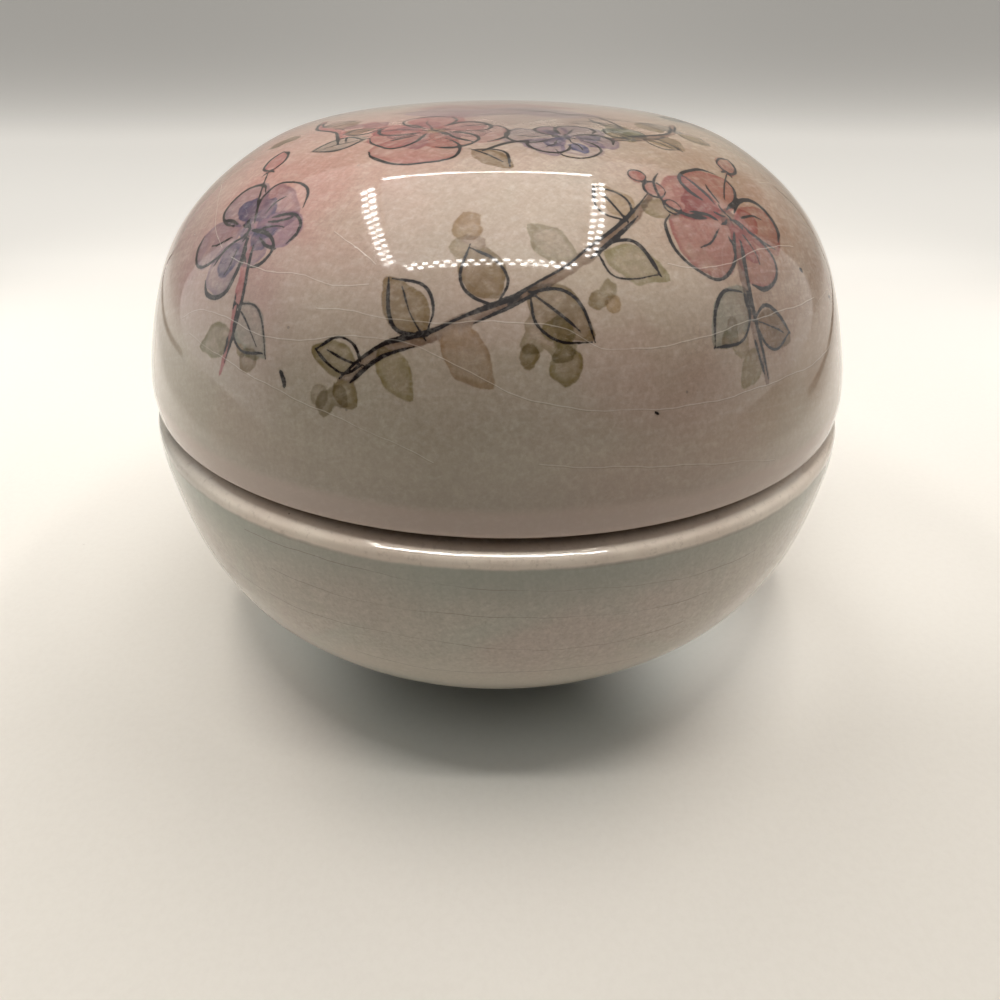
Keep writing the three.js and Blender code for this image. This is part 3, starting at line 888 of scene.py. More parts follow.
# ------------------------------------------------------------------ node help
class Nodes:
    def __init__(self, tree):
        self.t = tree
        tree.nodes.clear()

    def new(self, kind, **props):
        n = self.t.nodes.new(kind)
        for k, v in props.items():
            setattr(n, k, v)
        return n

    def put(self, socket, value):
        if isinstance(value, bpy.types.NodeSocket):
            self.t.links.new(value, socket)
        elif isinstance(value, (tuple, list)):
            value = tuple(value)
            if len(socket.default_value) == 4 and len(value) == 3:
                value = value + (1.0,)
            socket.default_value = value
        else:
            socket.default_value = value

    def math(self, op, a, b=None, c=None, clamp=False):
        n = self.new("ShaderNodeMath", operation=op, use_clamp=clamp)
        for i, v in enumerate((a, b, c)):
            if v is not None:
                self.put(n.inputs[i], v)
        return n.outputs[0]

    def mix(self, fac, a, b, blend="MIX", clamp=False):
        n = self.new("ShaderNodeMix", data_type="RGBA", blend_type=blend, clamp_result=clamp)
        self.put(n.inputs[0], fac)
        self.put(n.inputs[6], a)
        self.put(n.inputs[7], b)
        return n.outputs[2]

    def lerp(self, fac, a, b):
        n = self.new("ShaderNodeMix", data_type="FLOAT")
        self.put(n.inputs[0], fac)
        self.put(n.inputs[2], a)
        self.put(n.inputs[3], b)
        return n.outputs[0]

    def noise(self, vec, scale, detail=2.0, rough=0.5, distort=0.0, colour=False):
        n = self.new("ShaderNodeTexNoise")
        self.put(n.inputs["Vector"], vec)
        n.inputs["Scale"].default_value = scale
        n.inputs["Detail"].default_value = detail
        n.inputs["Roughness"].default_value = rough
        n.inputs["Distortion"].default_value = distort
        return n.outputs["Color" if colour else "Fac"]

    def step(self, x, a, b, lo=0.0, hi=1.0, smoothly=True):
        n = self.new("ShaderNodeMapRange", interpolation_type="SMOOTHSTEP" if smoothly else "LINEAR")
        self.put(n.inputs["Value"], x)
        self.put(n.inputs["From Min"], a)
        self.put(n.inputs["From Max"], b)
        self.put(n.inputs["To Min"], lo)
        self.put(n.inputs["To Max"], hi)
        return n.outputs["Result"]

    def attr(self, name, out="Fac"):
        return self.new("ShaderNodeAttribute", attribute_name=name).outputs[out]

    def place(self, scale=(1, 1, 1), rotate=(0, 0, 0), move=(0, 0, 0)):
        c = self.new("ShaderNodeTexCoord").outputs["Object"]
        if rotate != (0, 0, 0):      # turned first, so that stretched patterns run at a slant
            r = self.new("ShaderNodeMapping")
            self.put(r.inputs["Vector"], c)
            r.inputs["Rotation"].default_value = rotate
            c = r.outputs["Vector"]
        n = self.new("ShaderNodeMapping")
        self.put(n.inputs["Vector"], c)
        n.inputs["Scale"].default_value = scale
        n.inputs["Location"].default_value = move
        return n.outputs["Vector"]


def line(g, name, half, soft):
    """1 on a hairline, from its signed distance attribute."""
    return g.step(g.math("ABSOLUTE", g.attr(name)), half, half + soft, 1.0, 0.0)


def specks(g, vec, scale, size, share, seed=0.0):
    """Sparse dark pinholes and iron spots."""
    v = g.new("ShaderNodeTexVoronoi", feature="F1")
    g.put(v.inputs["Vector"], vec)
    v.inputs["Scale"].default_value = scale
    v.inputs["Randomness"].default_value = 1.0
    sep = g.new("ShaderNodeSeparateColor")
    g.put(sep.inputs[0], v.outputs["Color"])
    here = g.math("GREATER_THAN", sep.outputs[0], 1 - share)
    r = g.math("MULTIPLY_ADD", sep.outputs[1], size * 0.8, size * 0.5)
    edge = g.math("SUBTRACT", v.outputs["Distance"], r)
    return g.math("MULTIPLY", g.step(edge, -size * 0.25, size * 0.35, 1.0, 0.0), here)


def scratches(g, rotate, seed):
    """Very fine, faint brush and wipe marks under the glaze."""
    vec = g.place((900, 60, 900), rotate, (seed, seed * 0.7, 0))
    return g.step(g.noise(vec, 1.0, 3.0, 0.6, 0.4), 0.36, 0.66)


def glaze_surface(g, colour, roughness, height, clay):
    """A glossy glazed body, with a bare clay ring where clay is 1."""
    clay_grain = g.noise(g.place(), 1400.0, 4.0, 0.7)
    clay_tone = g.mix(g.noise(g.place(), 160.0, 4.0, 0.65), (0.42, 0.29, 0.20), (0.60, 0.46, 0.34))
    clay_tone = g.mix(g.step(clay_grain, 0.35, 0.75), clay_tone, (0.34, 0.23, 0.16))
    col = g.mix(clay, colour, clay_tone)
    rough = g.lerp(clay, roughness, g.step(clay_grain, 0.3, 0.7, 0.72, 0.9))
    h = g.lerp(clay, height, g.math("MULTIPLY", clay_grain, 0.00009))
    bump = g.new("ShaderNodeBump")
    bump.inputs["Strength"].default_value = 1.0
    bump.inputs["Distance"].default_value = 1.0
    g.put(bump.inputs["Height"], h)
    bsdf = g.new("ShaderNodeBsdfPrincipled")
    g.put(bsdf.inputs["Base Color"], col)
    g.put(bsdf.inputs["Roughness"], rough)
    bsdf.inputs["IOR"].default_value = 1.52
    g.put(bsdf.inputs["Normal"], bump.outputs["Normal"])
    out = g.new("ShaderNodeOutputMaterial")
    g.put(out.inputs["Surface"], bsdf.outputs["BSDF"])


def ground(g, cream, pink, green):
    """Body colour seen through the clear glaze: warm, with pearly patches of pink and green."""
    v = g.place()
    a = g.step(g.noise(v, 17.0, 3.0, 0.55, 0.6), 0.42, 0.66)
    b = g.step(g.noise(g.place(move=(0.37, 0.11, 0.2)), 21.0, 3.0, 0.55, 0.8), 0.44, 0.68)
    c = g.mix(g.math("MULTIPLY", a, 0.8), cream, pink)
    c = g.mix(g.math("MULTIPLY", b, 0.7), c, green)
    fine = g.noise(v, 1300.0, 4.0, 0.75)
    c = g.mix(g.step(fine, 0.3, 0.75, 0.0, 0.26), c, (0.40, 0.35, 0.30), "MULTIPLY")
    cloth = g.math("MULTIPLY", g.noise(g.place((1500, 210, 900), (0.1, 0.2, 0.62)), 1.0, 3.0, 0.65), g.noise(g.place((260, 1500, 900), (0.2, 0.1, 0.5)), 1.0, 3.0, 0.65))
    c = g.mix(g.step(cloth, 0.18, 0.40, 0.17, 0.0), c, (0.36, 0.31, 0.27), "MULTIPLY")
    mid = g.noise(v, 60.0, 4.0, 0.6, 0.5)
    return g.mix(g.step(mid, 0.3, 0.75, 0.0, 0.10), c, (0.52, 0.46, 0.42), "MULTIPLY")


def wash_layer(g, colour, field, tint, dense, seed):
    """Pigment pooled at the edge of a wet wash, paler and grainy inside."""
    v = g.place(move=(seed, seed * 0.5, 0))
    ragged = g.math("MULTIPLY_ADD", g.noise(v, 420.0, 4.0, 0.6), 0.9, -0.45)
    wide = g.math("MULTIPLY_ADD", g.noise(v, 120.0, 2.0, 0.5), 1.3, -0.65)
    d = g.math("ADD", g.math("ADD", g.attr(field), ragged), wide)
    body = g.step(d, 0.32, -0.12)
    pool = g.math("MULTIPLY", g.step(d, -1.1, -0.25), g.step(d, 0.2, -0.1))
    grain = g.step(g.noise(v, 900.0, 5.0, 0.75), 0.3, 0.75)
    flow = g.step(g.noise(v, 110.0, 3.0, 0.6, 1.0), 0.3, 0.72)
    depth = g.math("MULTIPLY_ADD", grain, 0.14, 0.40)
    depth = g.math("ADD", depth, g.math("MULTIPLY", flow, 0.42))
    depth = g.math("MULTIPLY", g.math("MULTIPLY", depth, body), g.attr(dense))
    depth = g.math("ADD", depth, g.math("MULTIPLY", pool, 0.26), clamp=True)
    return g.mix(depth, colour, g.mix(1.0, colour, g.attr(tint, "Color"), "MULTIPLY"))


def lid_material():
    m = bpy.data.materials.new("lid_glaze")
    m.use_nodes = True
    g = Nodes(m.node_tree)
    v = g.place()
    col = ground(g, (0.456, 0.391, 0.322), (0.469, 0.364, 0.315), (0.411, 0.391, 0.322))
    # painted reflection: the lower wall lighter towards the lip, standing in for the bright floor seen in the glaze
    lip = g.math("ADD", g.attr("arc"), g.math("MULTIPLY_ADD", g.noise(v, 40.0, 2.0), 1.2, -0.6))
    col = g.mix(g.step(lip, LID_WALL - 18.0, LID_WALL - 3.0, 0.0, 0.32), col, (0.60, 0.51, 0.435))
    # painted light: the lower wall paler at its left and right sides, where the walls of the light tent light it
    across = g.new("ShaderNodeSeparateXYZ")
    g.put(across.inputs[0], v)
    side = g.math("MULTIPLY", g.step(g.math("ABSOLUTE", across.outputs[0]), 0.030, 0.070), g.step(lip, LID_WALL - 34.0, LID_WALL - 20.0))
    col = g.mix(g.math("MULTIPLY", side, 0.40), col, (0.62, 0.545, 0.46))
    # painted reflection: the lip's rounding lighter and pinker, as the bright floor seen in the glaze
    lip = g.step(lip, LID_WALL - 2.2, LID_WALL + 0.2, 0.0, 0.85)
    col = g.mix(lip, col, (0.56, 0.445, 0.385))
    # thin wet washes behind the drawing, some of them painted shade and painted light
    soft = g.noise(v, 48.0, 4.0, 0.6, 0.8)
    haze_and_shading = g.mix(g.step(soft, 0.25, 0.7, 0.55, 1.0), (1, 1, 1), g.attr("haze_and_shading", "Color"))
    col = g.mix(1.0, col, haze_and_shading, "MULTIPLY")
    col = wash_layer(g, col, "wash_a", "tint_a", "dense_a", 0.0)
    col = wash_layer(g, col, "wash_b", "tint_b", "dense_b", 0.31)
    # pen lines
    shake = g.math("MULTIPLY_ADD", g.noise(v, 1500.0, 3.0, 0.6), 0.26, -0.13)
    d = g.math("ADD", g.attr("ink"), shake)
    pen_mask = g.step(d, 0.09, -0.09)
    feather = g.step(d, 0.50, 0.0, 0.0, 0.12)
    dry = g.step(g.noise(v, 700.0, 4.0, 0.7), 0.30, 0.50, 0.95, 1.0)
    strength = g.math("MAXIMUM", g.math("MULTIPLY", pen_mask, dry), feather)
    tone = g.mix(g.noise(v, 90.0, 2.0), (0.002, 0.0015, 0.002), (0.012, 0.006, 0.005))
    col = g.mix(strength, col, tone)
    # hairline crazing, pale where it catches the light in the glaze, with a painted shadow along one side of each line
    crack, shade = None, None
    for i in range(len(LID_CRACKS)):
        c = line(g, "crack_%d" % i, 0.03, 0.10)
        crack = c if crack is None else g.math("MAXIMUM", crack, c)
        side = g.math("SUBTRACT", g.attr("crack_%d" % i), 0.17)
        side = g.step(g.math("ABSOLUTE", side), 0.03, 0.11, 1.0, 0.0)
        shade = side if shade is None else g.math("MAXIMUM", shade, side)
    broken = g.step(g.noise(v, 60.0, 2.0), 0.3, 0.5, 0.35, 1.0)
    crack = g.math("MULTIPLY", crack, broken)
    col = g.mix(g.math("MULTIPLY", g.math("MULTIPLY", shade, broken), 0.24), col, (0.10, 0.08, 0.065))
    col = g.mix(g.math("MULTIPLY", crack, 0.25), col, (0.80, 0.74, 0.66))
    net = g.new("ShaderNodeTexVoronoi", feature="DISTANCE_TO_EDGE")
    g.put(net.inputs["Vector"], g.mix(0.02, v, g.noise(v, 30.0, 3.0, 0.6, 0.0, True)))
    net.inputs["Scale"].default_value = 46.0
    fine_net = g.math("MULTIPLY", g.step(net.outputs["Distance"], 0.003, 0.012, 1.0, 0.0), g.step(g.noise(v, 22.0, 2.0), 0.5, 0.62))
    col = g.mix(g.math("MULTIPLY", fine_net, 0.035), col, (0.80, 0.74, 0.66))
    # wipe marks and pinholes
    marks = g.math("MULTIPLY", scratches(g, (0.35, 0.1, 0.95), 0.0), scratches(g, (0.1, 0.45, -0.75), 3.1))
    col = g.mix(g.math("MULTIPLY", marks, 0.10), col, (0.80, 0.74, 0.68))
    pits = g.math("MAXIMUM", specks(g, v, 95.0, 0.028, 0.16), specks(g, g.place(move=(0.5, 0.2, 0.1)), 210.0, 0.045, 0.10))
    col = g.mix(g.math("MULTIPLY", pits, 0.62), col, (0.09, 0.065, 0.05))
    rough = g.math("ADD", g.step(g.noise(v, 300.0, 3.0, 0.6), 0.3, 0.8, 0.045, 0.085), g.math("MULTIPLY", crack, 0.12))
    rough = g.math("ADD", rough, g.math("MULTIPLY", pits, 0.25))
    h = g.math("MULTIPLY", g.noise(v, 85.0, 1.0, 0.4), 0.000036)
    h = g.math("ADD", h, g.math("MULTIPLY", g.noise(v, 400.0, 2.0, 0.5), 0.0000042))
    h = g.math("SUBTRACT", h, g.math("MULTIPLY", crack, 0.000006))
    h = g.math("SUBTRACT", h, g.math("MULTIPLY", pits, 0.00002))
    clay = g.step(g.math("ADD", g.attr("bare"), g.math("MULTIPLY_ADD", g.noise(v, 260.0, 3.0), 0.7, -0.35)), -0.12, 0.12)
    glaze_surface(g, col, rough, h, clay)
    return m


def bowl_material():
    m = bpy.data.materials.new("bowl_glaze")
    m.use_nodes = True
    g = Nodes(m.node_tree)
    v = g.place()
    col = ground(g, (0.606, 0.552, 0.468), (0.634, 0.533, 0.466), (0.538, 0.56, 0.477))
    band = g.attr("band")
    # the rounded shoulder is thinner glaze over warm clay, painted lighter still to stand in for the light it catches;
    # below its edge the glaze pools greenish
    waver = g.math("MULTIPLY_ADD", g.noise(v, 70.0, 3.0), 1.2, -0.6)
    b = g.math("ADD", band, waver)
    col = g.mix(g.step(b, -22.0, -36.0, 0.0, 0.55), col, (0.83, 0.76, 0.655))
    uneven = g.math("ADD", band, g.math("MULTIPLY_ADD", g.noise(v, 130.0, 4.0, 0.6), 0.9, -0.45))
    shoulder = g.math("MULTIPLY", g.step(uneven, -0.55, 0.7), g.step(band, 9.5, 8.0))
    shoulder_tone_and_shading = g.mix(g.step(g.noise(v, 55.0, 4.0, 0.6, 0.4), 0.35, 0.68), (0.90, 0.80, 0.69), (0.78, 0.665, 0.565))
    shoulder_tone_and_shading = g.mix(g.step(g.noise(v, 900.0, 4.0, 0.7), 0.52, 0.72, 0.0, 0.35), shoulder_tone_and_shading, (0.42, 0.33, 0.26))
    aside = g.new("ShaderNodeSeparateXYZ")
    g.put(aside.inputs[0], v)
    # painted shade: the shoulder's colour darkened towards its left end, and a little towards its right end
    shoulder_tone_and_shading = g.mix(g.step(aside.outputs[0], -0.038, -0.075, 0.0, 0.95), shoulder_tone_and_shading, (0.40, 0.435, 0.46), "MULTIPLY")
    shoulder_tone_and_shading = g.mix(g.step(aside.outputs[0], 0.060, 0.078, 0.0, 0.95), shoulder_tone_and_shading, (0.74, 0.77, 0.79), "MULTIPLY")
    col = g.mix(g.math("MULTIPLY", shoulder, 0.9), col, shoulder_tone_and_shading)
    # painted shade on the shoulder's top and the seat, under the lid's edge
    col = g.mix(g.math("MULTIPLY", g.step(band, 3.6, 6.0, 0.0, 0.88), g.step(band, 12.0, 9.0)), col, (0.105, 0.08, 0.06))
    pool = g.math("MULTIPLY", g.step(b, -11.0, -0.6), g.step(uneven, 0.3, -0.2))
    pool = g.math("MULTIPLY", pool, g.step(g.noise(v, 14.0, 2.0, 0.5), 0.34, 0.60, 0.45, 1.0))
    pool = g.math("MULTIPLY", pool, g.step(aside.outputs[0], 0.010, 0.060, 1.0, 0.40))
    col = g.mix(g.math("MULTIPLY", pool, 0.72), col, (0.36, 0.39, 0.33))
    # painted shade: a faint dark line along the ridge
    ridge_shade = g.math("MULTIPLY", g.step(g.math("ABSOLUTE", uneven), 0.10, 0.55, 0.34, 0.0), g.step(g.noise(v, 35.0, 3.0), 0.35, 0.6))
    col = g.mix(ridge_shade, col, (0.27, 0.22, 0.18))
    crack = None
    for i in range(len(BOWL_CRACKS)):
        c = line(g, "crack_%d" % i, 0.03, 0.10)
        crack = c if crack is None else g.math("MAXIMUM", crack, c)
    crack = g.math("MULTIPLY", crack, g.step(g.noise(v, 50.0, 2.0), 0.32, 0.55, 0.25, 1.0))
    col = g.mix(g.math("MULTIPLY", crack, 0.50), col, (0.16, 0.13, 0.11))
    net = g.new("ShaderNodeTexVoronoi", feature="DISTANCE_TO_EDGE")
    g.put(net.inputs["Vector"], g.mix(0.02, v, g.noise(v, 30.0, 3.0, 0.6, 0.0, True)))
    net.inputs["Scale"].default_value = 40.0
    fine_net = g.math("MULTIPLY", g.step(net.outputs["Distance"], 0.003, 0.012, 1.0, 0.0), g.step(g.noise(v, 22.0, 2.0), 0.48, 0.62))
    col = g.mix(g.math("MULTIPLY", fine_net, 0.06), col, (0.22, 0.19, 0.16))
    marks = g.math("MULTIPLY", scratches(g, (1.5, 0.1, 0.2), 0.0), scratches(g, (0.1, 0.3, -0.7), 3.1))
    col = g.mix(g.math("MULTIPLY", marks, 0.10), col, (0.78, 0.73, 0.66))
    pits = g.math("MAXIMUM", specks(g, v, 100.0, 0.03, 0.16), specks(g, g.place(move=(0.5, 0.2, 0.1)), 220.0, 0.045, 0.12))
    col = g.mix(g.math("MULTIPLY", pits, 0.6), col, (0.10, 0.075, 0.055))
    rough = g.lerp(shoulder, g.step(g.noise(v, 300.0, 3.0, 0.6), 0.3, 0.8, 0.06, 0.11), 0.03)
    rough = g.math("ADD", rough, g.math("MULTIPLY", crack, 0.12))
    h = g.math("MULTIPLY", g.noise(v, 80.0, 1.0, 0.4), 0.00003)
    h = g.math("ADD", h, g.math("MULTIPLY", g.noise(v, 380.0, 2.0, 0.5), 0.000003))
    rim_wave = g.math("MULTIPLY", g.noise(v, 190.0, 2.0, 0.5), 0.000045)
    rim_wave = g.math("ADD", rim_wave, g.math("MULTIPLY", g.noise(v, 480.0, 2.0, 0.6), 0.000018))
    h = g.math("ADD", h, g.math("MULTIPLY", rim_wave, shoulder))
    h = g.math("SUBTRACT", h, g.math("MULTIPLY", crack, 0.000006))
    clay = g.step(g.math("ADD", g.attr("bare"), g.math("MULTIPLY_ADD", g.noise(v, 260.0, 3.0), 0.7, -0.35)), -0.12, 0.12)
    glaze_surface(g, col, rough, h, clay)
    return m


# ------------------------------------------------------------------ make the pieces
paint_haze_and_shading()
paint_front()
paint_back()

lid = build_lid()
lid.data.materials.append(lid_material())
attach(lid, "lid")
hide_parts("lid")

bowl = build_bowl()
bowl.data.materials.append(bowl_material())
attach(bowl, "bowl")
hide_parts("bowl")


# ------------------------------------------------------------------ stage: floor and sweep, light, camera
def stage_mesh(name, verts, faces, mat):
    me = bpy.data.meshes.new(name)
    me.from_pydata([tuple(v) for v in verts], [], faces)
    me.update()
    for p in me.polygons:
        p.use_smooth = True
    me.materials.append(mat)
    ob = bpy.data.objects.new(name, me)
    bpy.context.scene.collection.objects.link(ob)
    return ob


def floor_material():
    m = bpy.data.materials.new("floor_paper")
    m.use_nodes = True
    g = Nodes(m.node_tree)
    v = g.place()
    sep = g.new("ShaderNodeSeparateXYZ")
    g.put(sep.inputs[0], v)
    x, y, z = sep.outputs
    # painted shade: the sheet darker towards the front edge
    near = g.step(y, -0.36, -0.13)
    col = g.mix(near, (0.25, 0.235, 0.215), (0.745, 0.72, 0.68))
    col = g.mix(g.step(g.noise(v, 3.0, 2.0), 0.3, 0.7, 0.0, 0.06), col, (0.62, 0.58, 0.53))
    col = g.mix(g.step(g.noise(v, 620.0, 4.0, 0.7), 0.35, 0.70, 0.0, 0.07), col, (0.50, 0.46, 0.41))
    col = g.mix(g.math("MULTIPLY", specks(g, v, 48.0, 0.02, 0.05), 0.22), col, (0.30, 0.26, 0.22))
    # painted glow: the sheet glows at its sides and at the back, standing in for light from the walls, and its colour
    # and glow are painted darker where it curves up
    clear = g.math("MAXIMUM", g.step(g.math("ABSOLUTE", x), 0.05, 0.12), g.step(y, 0.15, 0.40))
    painted_glow = g.math("MULTIPLY", g.step(y, -0.065, 0.32, 0.0, 0.63, smoothly=False), g.step(y, 0.45, 0.90, 1.0, 0.90))
    painted_glow = g.math("MULTIPLY", painted_glow, clear)
    # painted glow in patches beside the bowl, standing in for light from the walls of the light tent, more on the right
    for cx, cy, rad, k in ((0.053, -0.036, 0.043, 0.28), (0.104, -0.018, 0.060, 0.09), (-0.057, -0.032, 0.043, 0.08)):
        dx, dy = g.math("SUBTRACT", x, cx), g.math("SUBTRACT", y, cy)
        far = g.math("SQRT", g.math("ADD", g.math("MULTIPLY", dx, dx), g.math("MULTIPLY", dy, dy)))
        painted_glow = g.math("ADD", painted_glow, g.step(far, 0.0, rad, k, 0.0))
    fade = g.math("MULTIPLY_ADD", g.math("EXPONENT", g.math("MULTIPLY", z, -27.8)), 0.5, 0.5)
    foot = g.math("SQRT", g.math("ADD", g.math("MULTIPLY", x, x), g.math("MULTIPLY", y, y)))
    wide = g.math("ABSOLUTE", x)
    fade = g.math("MULTIPLY", fade, g.lerp(g.step(y, 0.5, 0.9), 1.0, g.step(wide, 0.05, 0.55, 1.08, 1.0)))
    shade = g.math("MULTIPLY", g.step(foot, 0.046, 0.082, 0.52, 1.0), g.lerp(g.step(wide, 0.02, 0.05), g.step(foot, 0.062, 0.108, 0.80, 1.0), 1.0))
    col = g.mix(g.math("MULTIPLY", fade, shade), (0.0, 0.0, 0.0), col)
    col = g.mix(1.0, col, g.mix(g.step(shade, 1.0, 0.65), (1.0, 1.0, 1.0), (0.95, 1.04, 1.06)), "MULTIPLY")
    glow = g.mix(fade, (0.0, 0.0, 0.0), (0.97, 0.935, 0.87))
    bsdf = g.new("ShaderNodeBsdfPrincipled")
    g.put(bsdf.inputs["Emission Color"], glow)
    g.put(bsdf.inputs["Emission Strength"], painted_glow)
    g.put(bsdf.inputs["Base Color"], col)
    bsdf.inputs["Roughness"].default_value = 0.75
    bsdf.inputs["Specular IOR Level"].default_value = 0.2
    out = g.new("ShaderNodeOutputMaterial")
    g.put(out.inputs["Surface"], bsdf.outputs["BSDF"])
    return m


def build_floor():
    verts, faces = [], []
    prof = [(-1.6, 0.0), (-0.8, 0.0), (-0.3, 0.0), (0.0, 0.0), (0.4, 0.0), (0.9, 0.0)]
    for i in range(1, 13):
        a = i / 12 * math.pi / 2
        prof.append((0.9 + 0.45 * math.sin(a), 0.45 - 0.45 * math.cos(a)))
    prof.append((1.35, 1.4))
    for y, z in prof:
        for x in (-2.2, -0.7, 0.0, 0.7, 2.2):
            verts.append((x, y, z - 0.00003))
    w = 5
    for k in range(len(prof) - 1):
        for i in range(w - 1):
            a = k * w + i
            faces.append((a, a + 1, a + 1 + w, a + w))
    return stage_mesh("floor_sweep", verts, faces, floor_material())


build_floor()


def only_mirrored(ob):
    ob.visible_camera = False
    ob.visible_diffuse = False
    ob.visible_shadow = False
    ob.visible_transmission = False
    ob.visible_volume_scatter = False


def build_seams():
    """Thin dark seams between the sheets of the light tent, seen only as lines in the glaze near its edges."""
    m = bpy.data.materials.new("tent_seam")
    m.use_nodes = True
    m.node_tree.nodes["Principled BSDF"].inputs["Base Color"].default_value = (0.03, 0.028, 0.025, 1)
    m.node_tree.nodes["Principled BSDF"].inputs["Roughness"].default_value = 0.9
    left = [(0.149, 0.211), (0.133, 0.160), (0.131, 0.130), (0.140, 0.092), (0.168, 0.058), (0.110, 0.059), (0.058, 0.063), (0.010, 0.069)]
    right = [(0.231, 0.165), (0.198, 0.113), (0.174, 0.080), (0.172, 0.054), (0.134, 0.050), (0.083, 0.051), (0.042, 0.050), (-0.003, 0.051)]
    for name, x, pts in (("seam_left", -0.200, left), ("seam_right", 0.200, right)):
        c = catmull(pts, 0.004)
        d = np.gradient(c, axis=0)
        n = np.stack([-d[:, 1], d[:, 0]], 1) / (np.linalg.norm(d, axis=1)[:, None] + 1e-12)
        verts = [(x, *q) for q in c + n * 0.0024] + [(x, *q) for q in c - n * 0.0024]
        k = len(c)
        faces = [(i, i + 1, k + i + 1, k + i) for i in range(k - 1)]
        only_mirrored(stage_mesh(name, verts, faces, m))


build_seams()


def area_light(name, at, size, power, colour, aim, mirrored=False):
    d = bpy.data.lights.new(name, "AREA")
    d.shape = "RECTANGLE"
    d.size, d.size_y = size
    d.energy = power
    d.color = colour
    ob = bpy.data.objects.new(name, d)
    ob.location = at
    if aim is not None:
        ob.rotation_euler = (Vector(aim) - Vector(at)).to_track_quat("-Z", "Y").to_euler()
    bpy.context.scene.collection.objects.link(ob)
    ob.visible_camera = False
    ob.visible_glossy = mirrored
    return ob


def lamp_bar(name, centre, length, across, angle, power, glare, rows, pitch, shift, fill_u, fill_v):
    """A bar of the roof light, facing down. The glaze mirrors its rows of small lamps; all else gets its even light."""
    above = (centre[0], centre[1], centre[2] + 0.0015)
    area_light(name, above, (length, across), power, (1.0, 0.955, 0.885), None).rotation_euler = (0, 0, math.radians(angle))
    ob = area_light(name + "_lamps", centre, (length, across), glare * math.pi * length * across, (1.0, 0.965, 0.91), None, True)
    ob.rotation_euler = (0, 0, math.radians(angle))
    ob.visible_diffuse = False
    ob.data.use_nodes = True
    g = Nodes(ob.data.node_tree)
    sep = g.new("ShaderNodeSeparateXYZ")
    g.put(sep.inputs[0], g.new("ShaderNodeNewGeometry").outputs["Parametric"])
    u, v = sep.outputs[0], g.math("MULTIPLY", sep.outputs[1], float(rows))
    row = g.math("FLOOR", v)
    c = g.math("MULTIPLY_ADD", u, length / pitch, g.math("MULTIPLY", row, shift))
    lamp = g.new("ShaderNodeTexWhiteNoise", noise_dimensions="2D")
    cell = g.new("ShaderNodeCombineXYZ")
    g.put(cell.inputs[0], g.math("FLOOR", c))
    g.put(cell.inputs[1], row)
    g.put(lamp.inputs["Vector"], cell.outputs[0])
    du = g.math("ABSOLUTE", g.math("SUBTRACT", g.math("FRACT", c), 0.5))
    dv = g.math("ABSOLUTE", g.math("SUBTRACT", g.math("FRACT", v), 0.5))
    on = g.math("MULTIPLY", g.step(du, fill_u / 2 + 0.06, fill_u / 2 - 0.06, 0.0, 1.0), g.step(dv, fill_v / 2 + 0.06, fill_v / 2 - 0.06, 0.0, 1.0))
    bright = g.math("MULTIPLY_ADD", lamp.outputs["Value"], 0.8, 0.6)
    e = g.new("ShaderNodeEmission")
    e.inputs["Color"].default_value = (1, 1, 1, 1)
    g.put(e.inputs["Strength"], g.math("MULTIPLY", on, bright))
    out = g.new("ShaderNodeOutputLight")
    g.put(out.inputs["Surface"], e.outputs["Emission"])


lamp_bar("roof_front", (-0.0070, -0.0950, 0.300), 0.172, 0.0142, -0.83, 0.27, 46.0, 2, 0.0113, 0.5, 0.46, 0.46)
lamp_bar("roof_back", (-0.0115, 0.0805, 0.300), 0.173, 0.0034, 0.66, 0.22, 40.0, 1, 0.0113, 0.5, 0.94, 0.70)
lamp_bar("roof_left", (-0.1110, -0.0110, 0.300), 0.150, 0.0150, 91.9, 0.26, 34.0, 2, 0.0108, 0.25, 0.36, 0.78)
lamp_bar("roof_right", (0.0863, -0.0060, 0.300), 0.140, 0.0150, 93.5, 0.31, 34.0, 2, 0.0108, 0.30, 0.36, 0.66)
# the pale sheet that the bars frame, seen only in the glaze
sheet = area_light("roof_sheet", (-0.0115, -0.0075, 0.3010), (0.176, 0.160), 1.1 * math.pi * 0.176 * 0.160, (0.95, 1.0, 1.0), None, True)
sheet.visible_diffuse = False
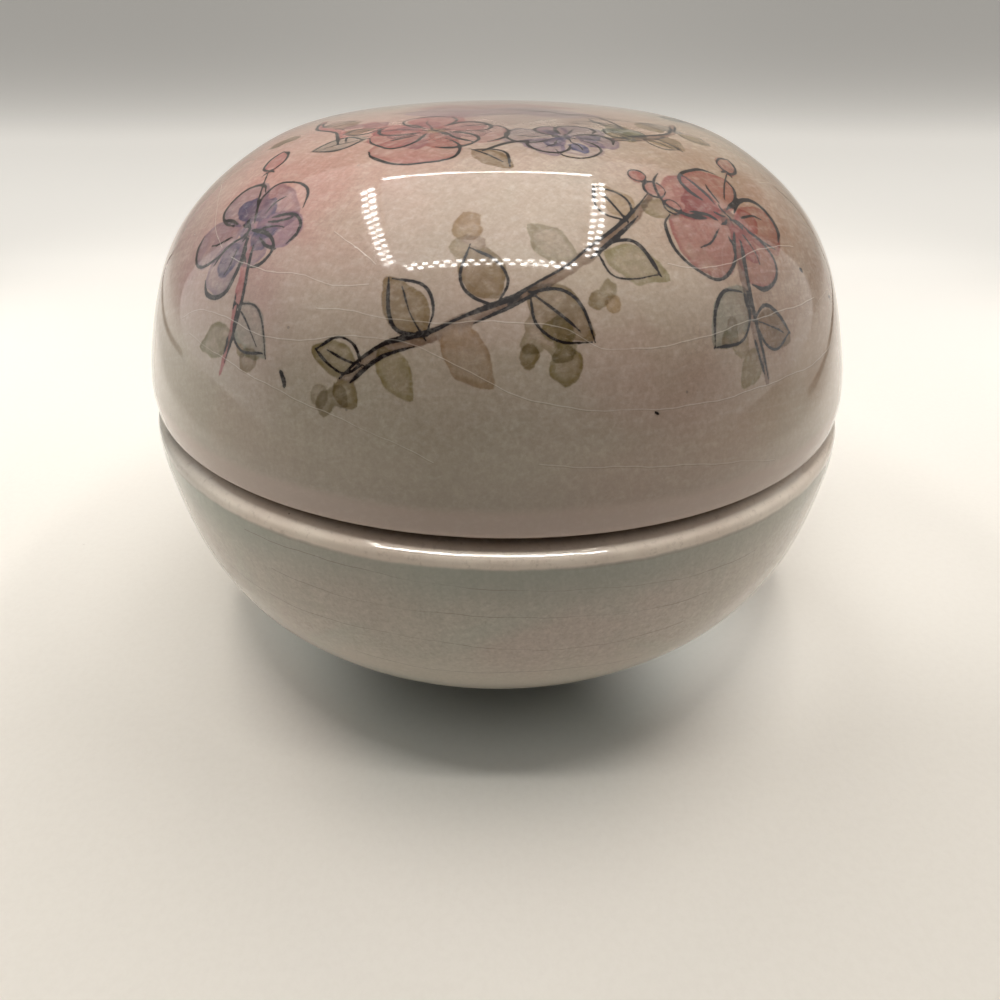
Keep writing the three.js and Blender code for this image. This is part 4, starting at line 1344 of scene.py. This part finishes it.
# a bright strip beside the front bar that only the bowl's rim mirrors, as a thin broken streak
rim_strip = area_light("rim_strip", (0.0000, -0.1050, 0.2990), (0.234, 0.006), 128.0 * math.pi * 0.234 * 0.006, (1.0, 0.965, 0.91), None, True)
rim_strip.visible_diffuse = False
rim_strip.rotation_euler = (0, 0, math.radians(-0.83))
rim_only = bpy.data.collections.new("rim_only")
rim_only.objects.link(bowl)
rim_strip.light_linking.receiver_collection = rim_only
area_light("wall_left", (-0.34, 0.06, 0.15), (0.34, 0.18), 0.46, (1.0, 0.97, 0.93), (0.0, 0.03, 0.05))
area_light("wall_right", (0.34, 0.06, 0.15), (0.34, 0.18), 0.40, (1.0, 0.97, 0.93), (0.0, 0.03, 0.05))
area_light("room_front", (0.0, -0.55, 0.20), (0.50, 0.30), 0.075, (1.0, 0.96, 0.90), (0.0, -0.05, 0.07))


def build_world():
    w = bpy.data.worlds.new("studio")
    bpy.context.scene.world = w
    w.use_nodes = True
    g = Nodes(w.node_tree)
    d = g.new("ShaderNodeTexCoord").outputs["Generated"]
    sep = g.new("ShaderNodeSeparateXYZ")
    g.put(sep.inputs[0], d)
    x, y, z = sep.outputs
    # bright white walls at the back and sides, a dark room in front, a pale roof
    front = g.math("MULTIPLY", g.step(g.math("MULTIPLY", y, -1.0), 0.0, 0.55), g.step(z, 0.92, 0.6))
    col = g.mix(front, (0.98, 0.96, 0.92), (0.06, 0.052, 0.045))
    roof = g.step(z, 0.55, 0.95)
    col = g.mix(g.math("MULTIPLY", roof, 0.5), col, (0.50, 0.48, 0.45))
    bg = g.new("ShaderNodeBackground")
    g.put(bg.inputs["Color"], col)
    # the walls are close and bright where the glaze mirrors them, and shed less light than they show
    shed = g.new("ShaderNodeLightPath").outputs["Is Diffuse Ray"]
    g.put(bg.inputs["Strength"], g.math("MULTIPLY_ADD", shed, -0.78, 1.0))
    out = g.new("ShaderNodeOutputWorld")
    g.put(out.inputs["Surface"], bg.outputs[0])


build_world()

cam = bpy.data.cameras.new("camera")
cam.sensor_width = 36.0
cam.sensor_fit = "HORIZONTAL"
cam.lens = 27.0
cam.shift_x = 0.0015
cam.clip_start = 0.01
cam.dof.use_dof = False
camera = bpy.data.objects.new("camera", cam)
camera.location = (0.0, -0.17907, 0.13391)
camera.rotation_euler = (math.radians(90 - 32.653), 0, 0)
bpy.context.scene.collection.objects.link(camera)
bpy.context.scene.camera = camera

bpy.context.scene.view_settings.view_transform = "Standard"
bpy.context.scene.view_settings.look = "None"
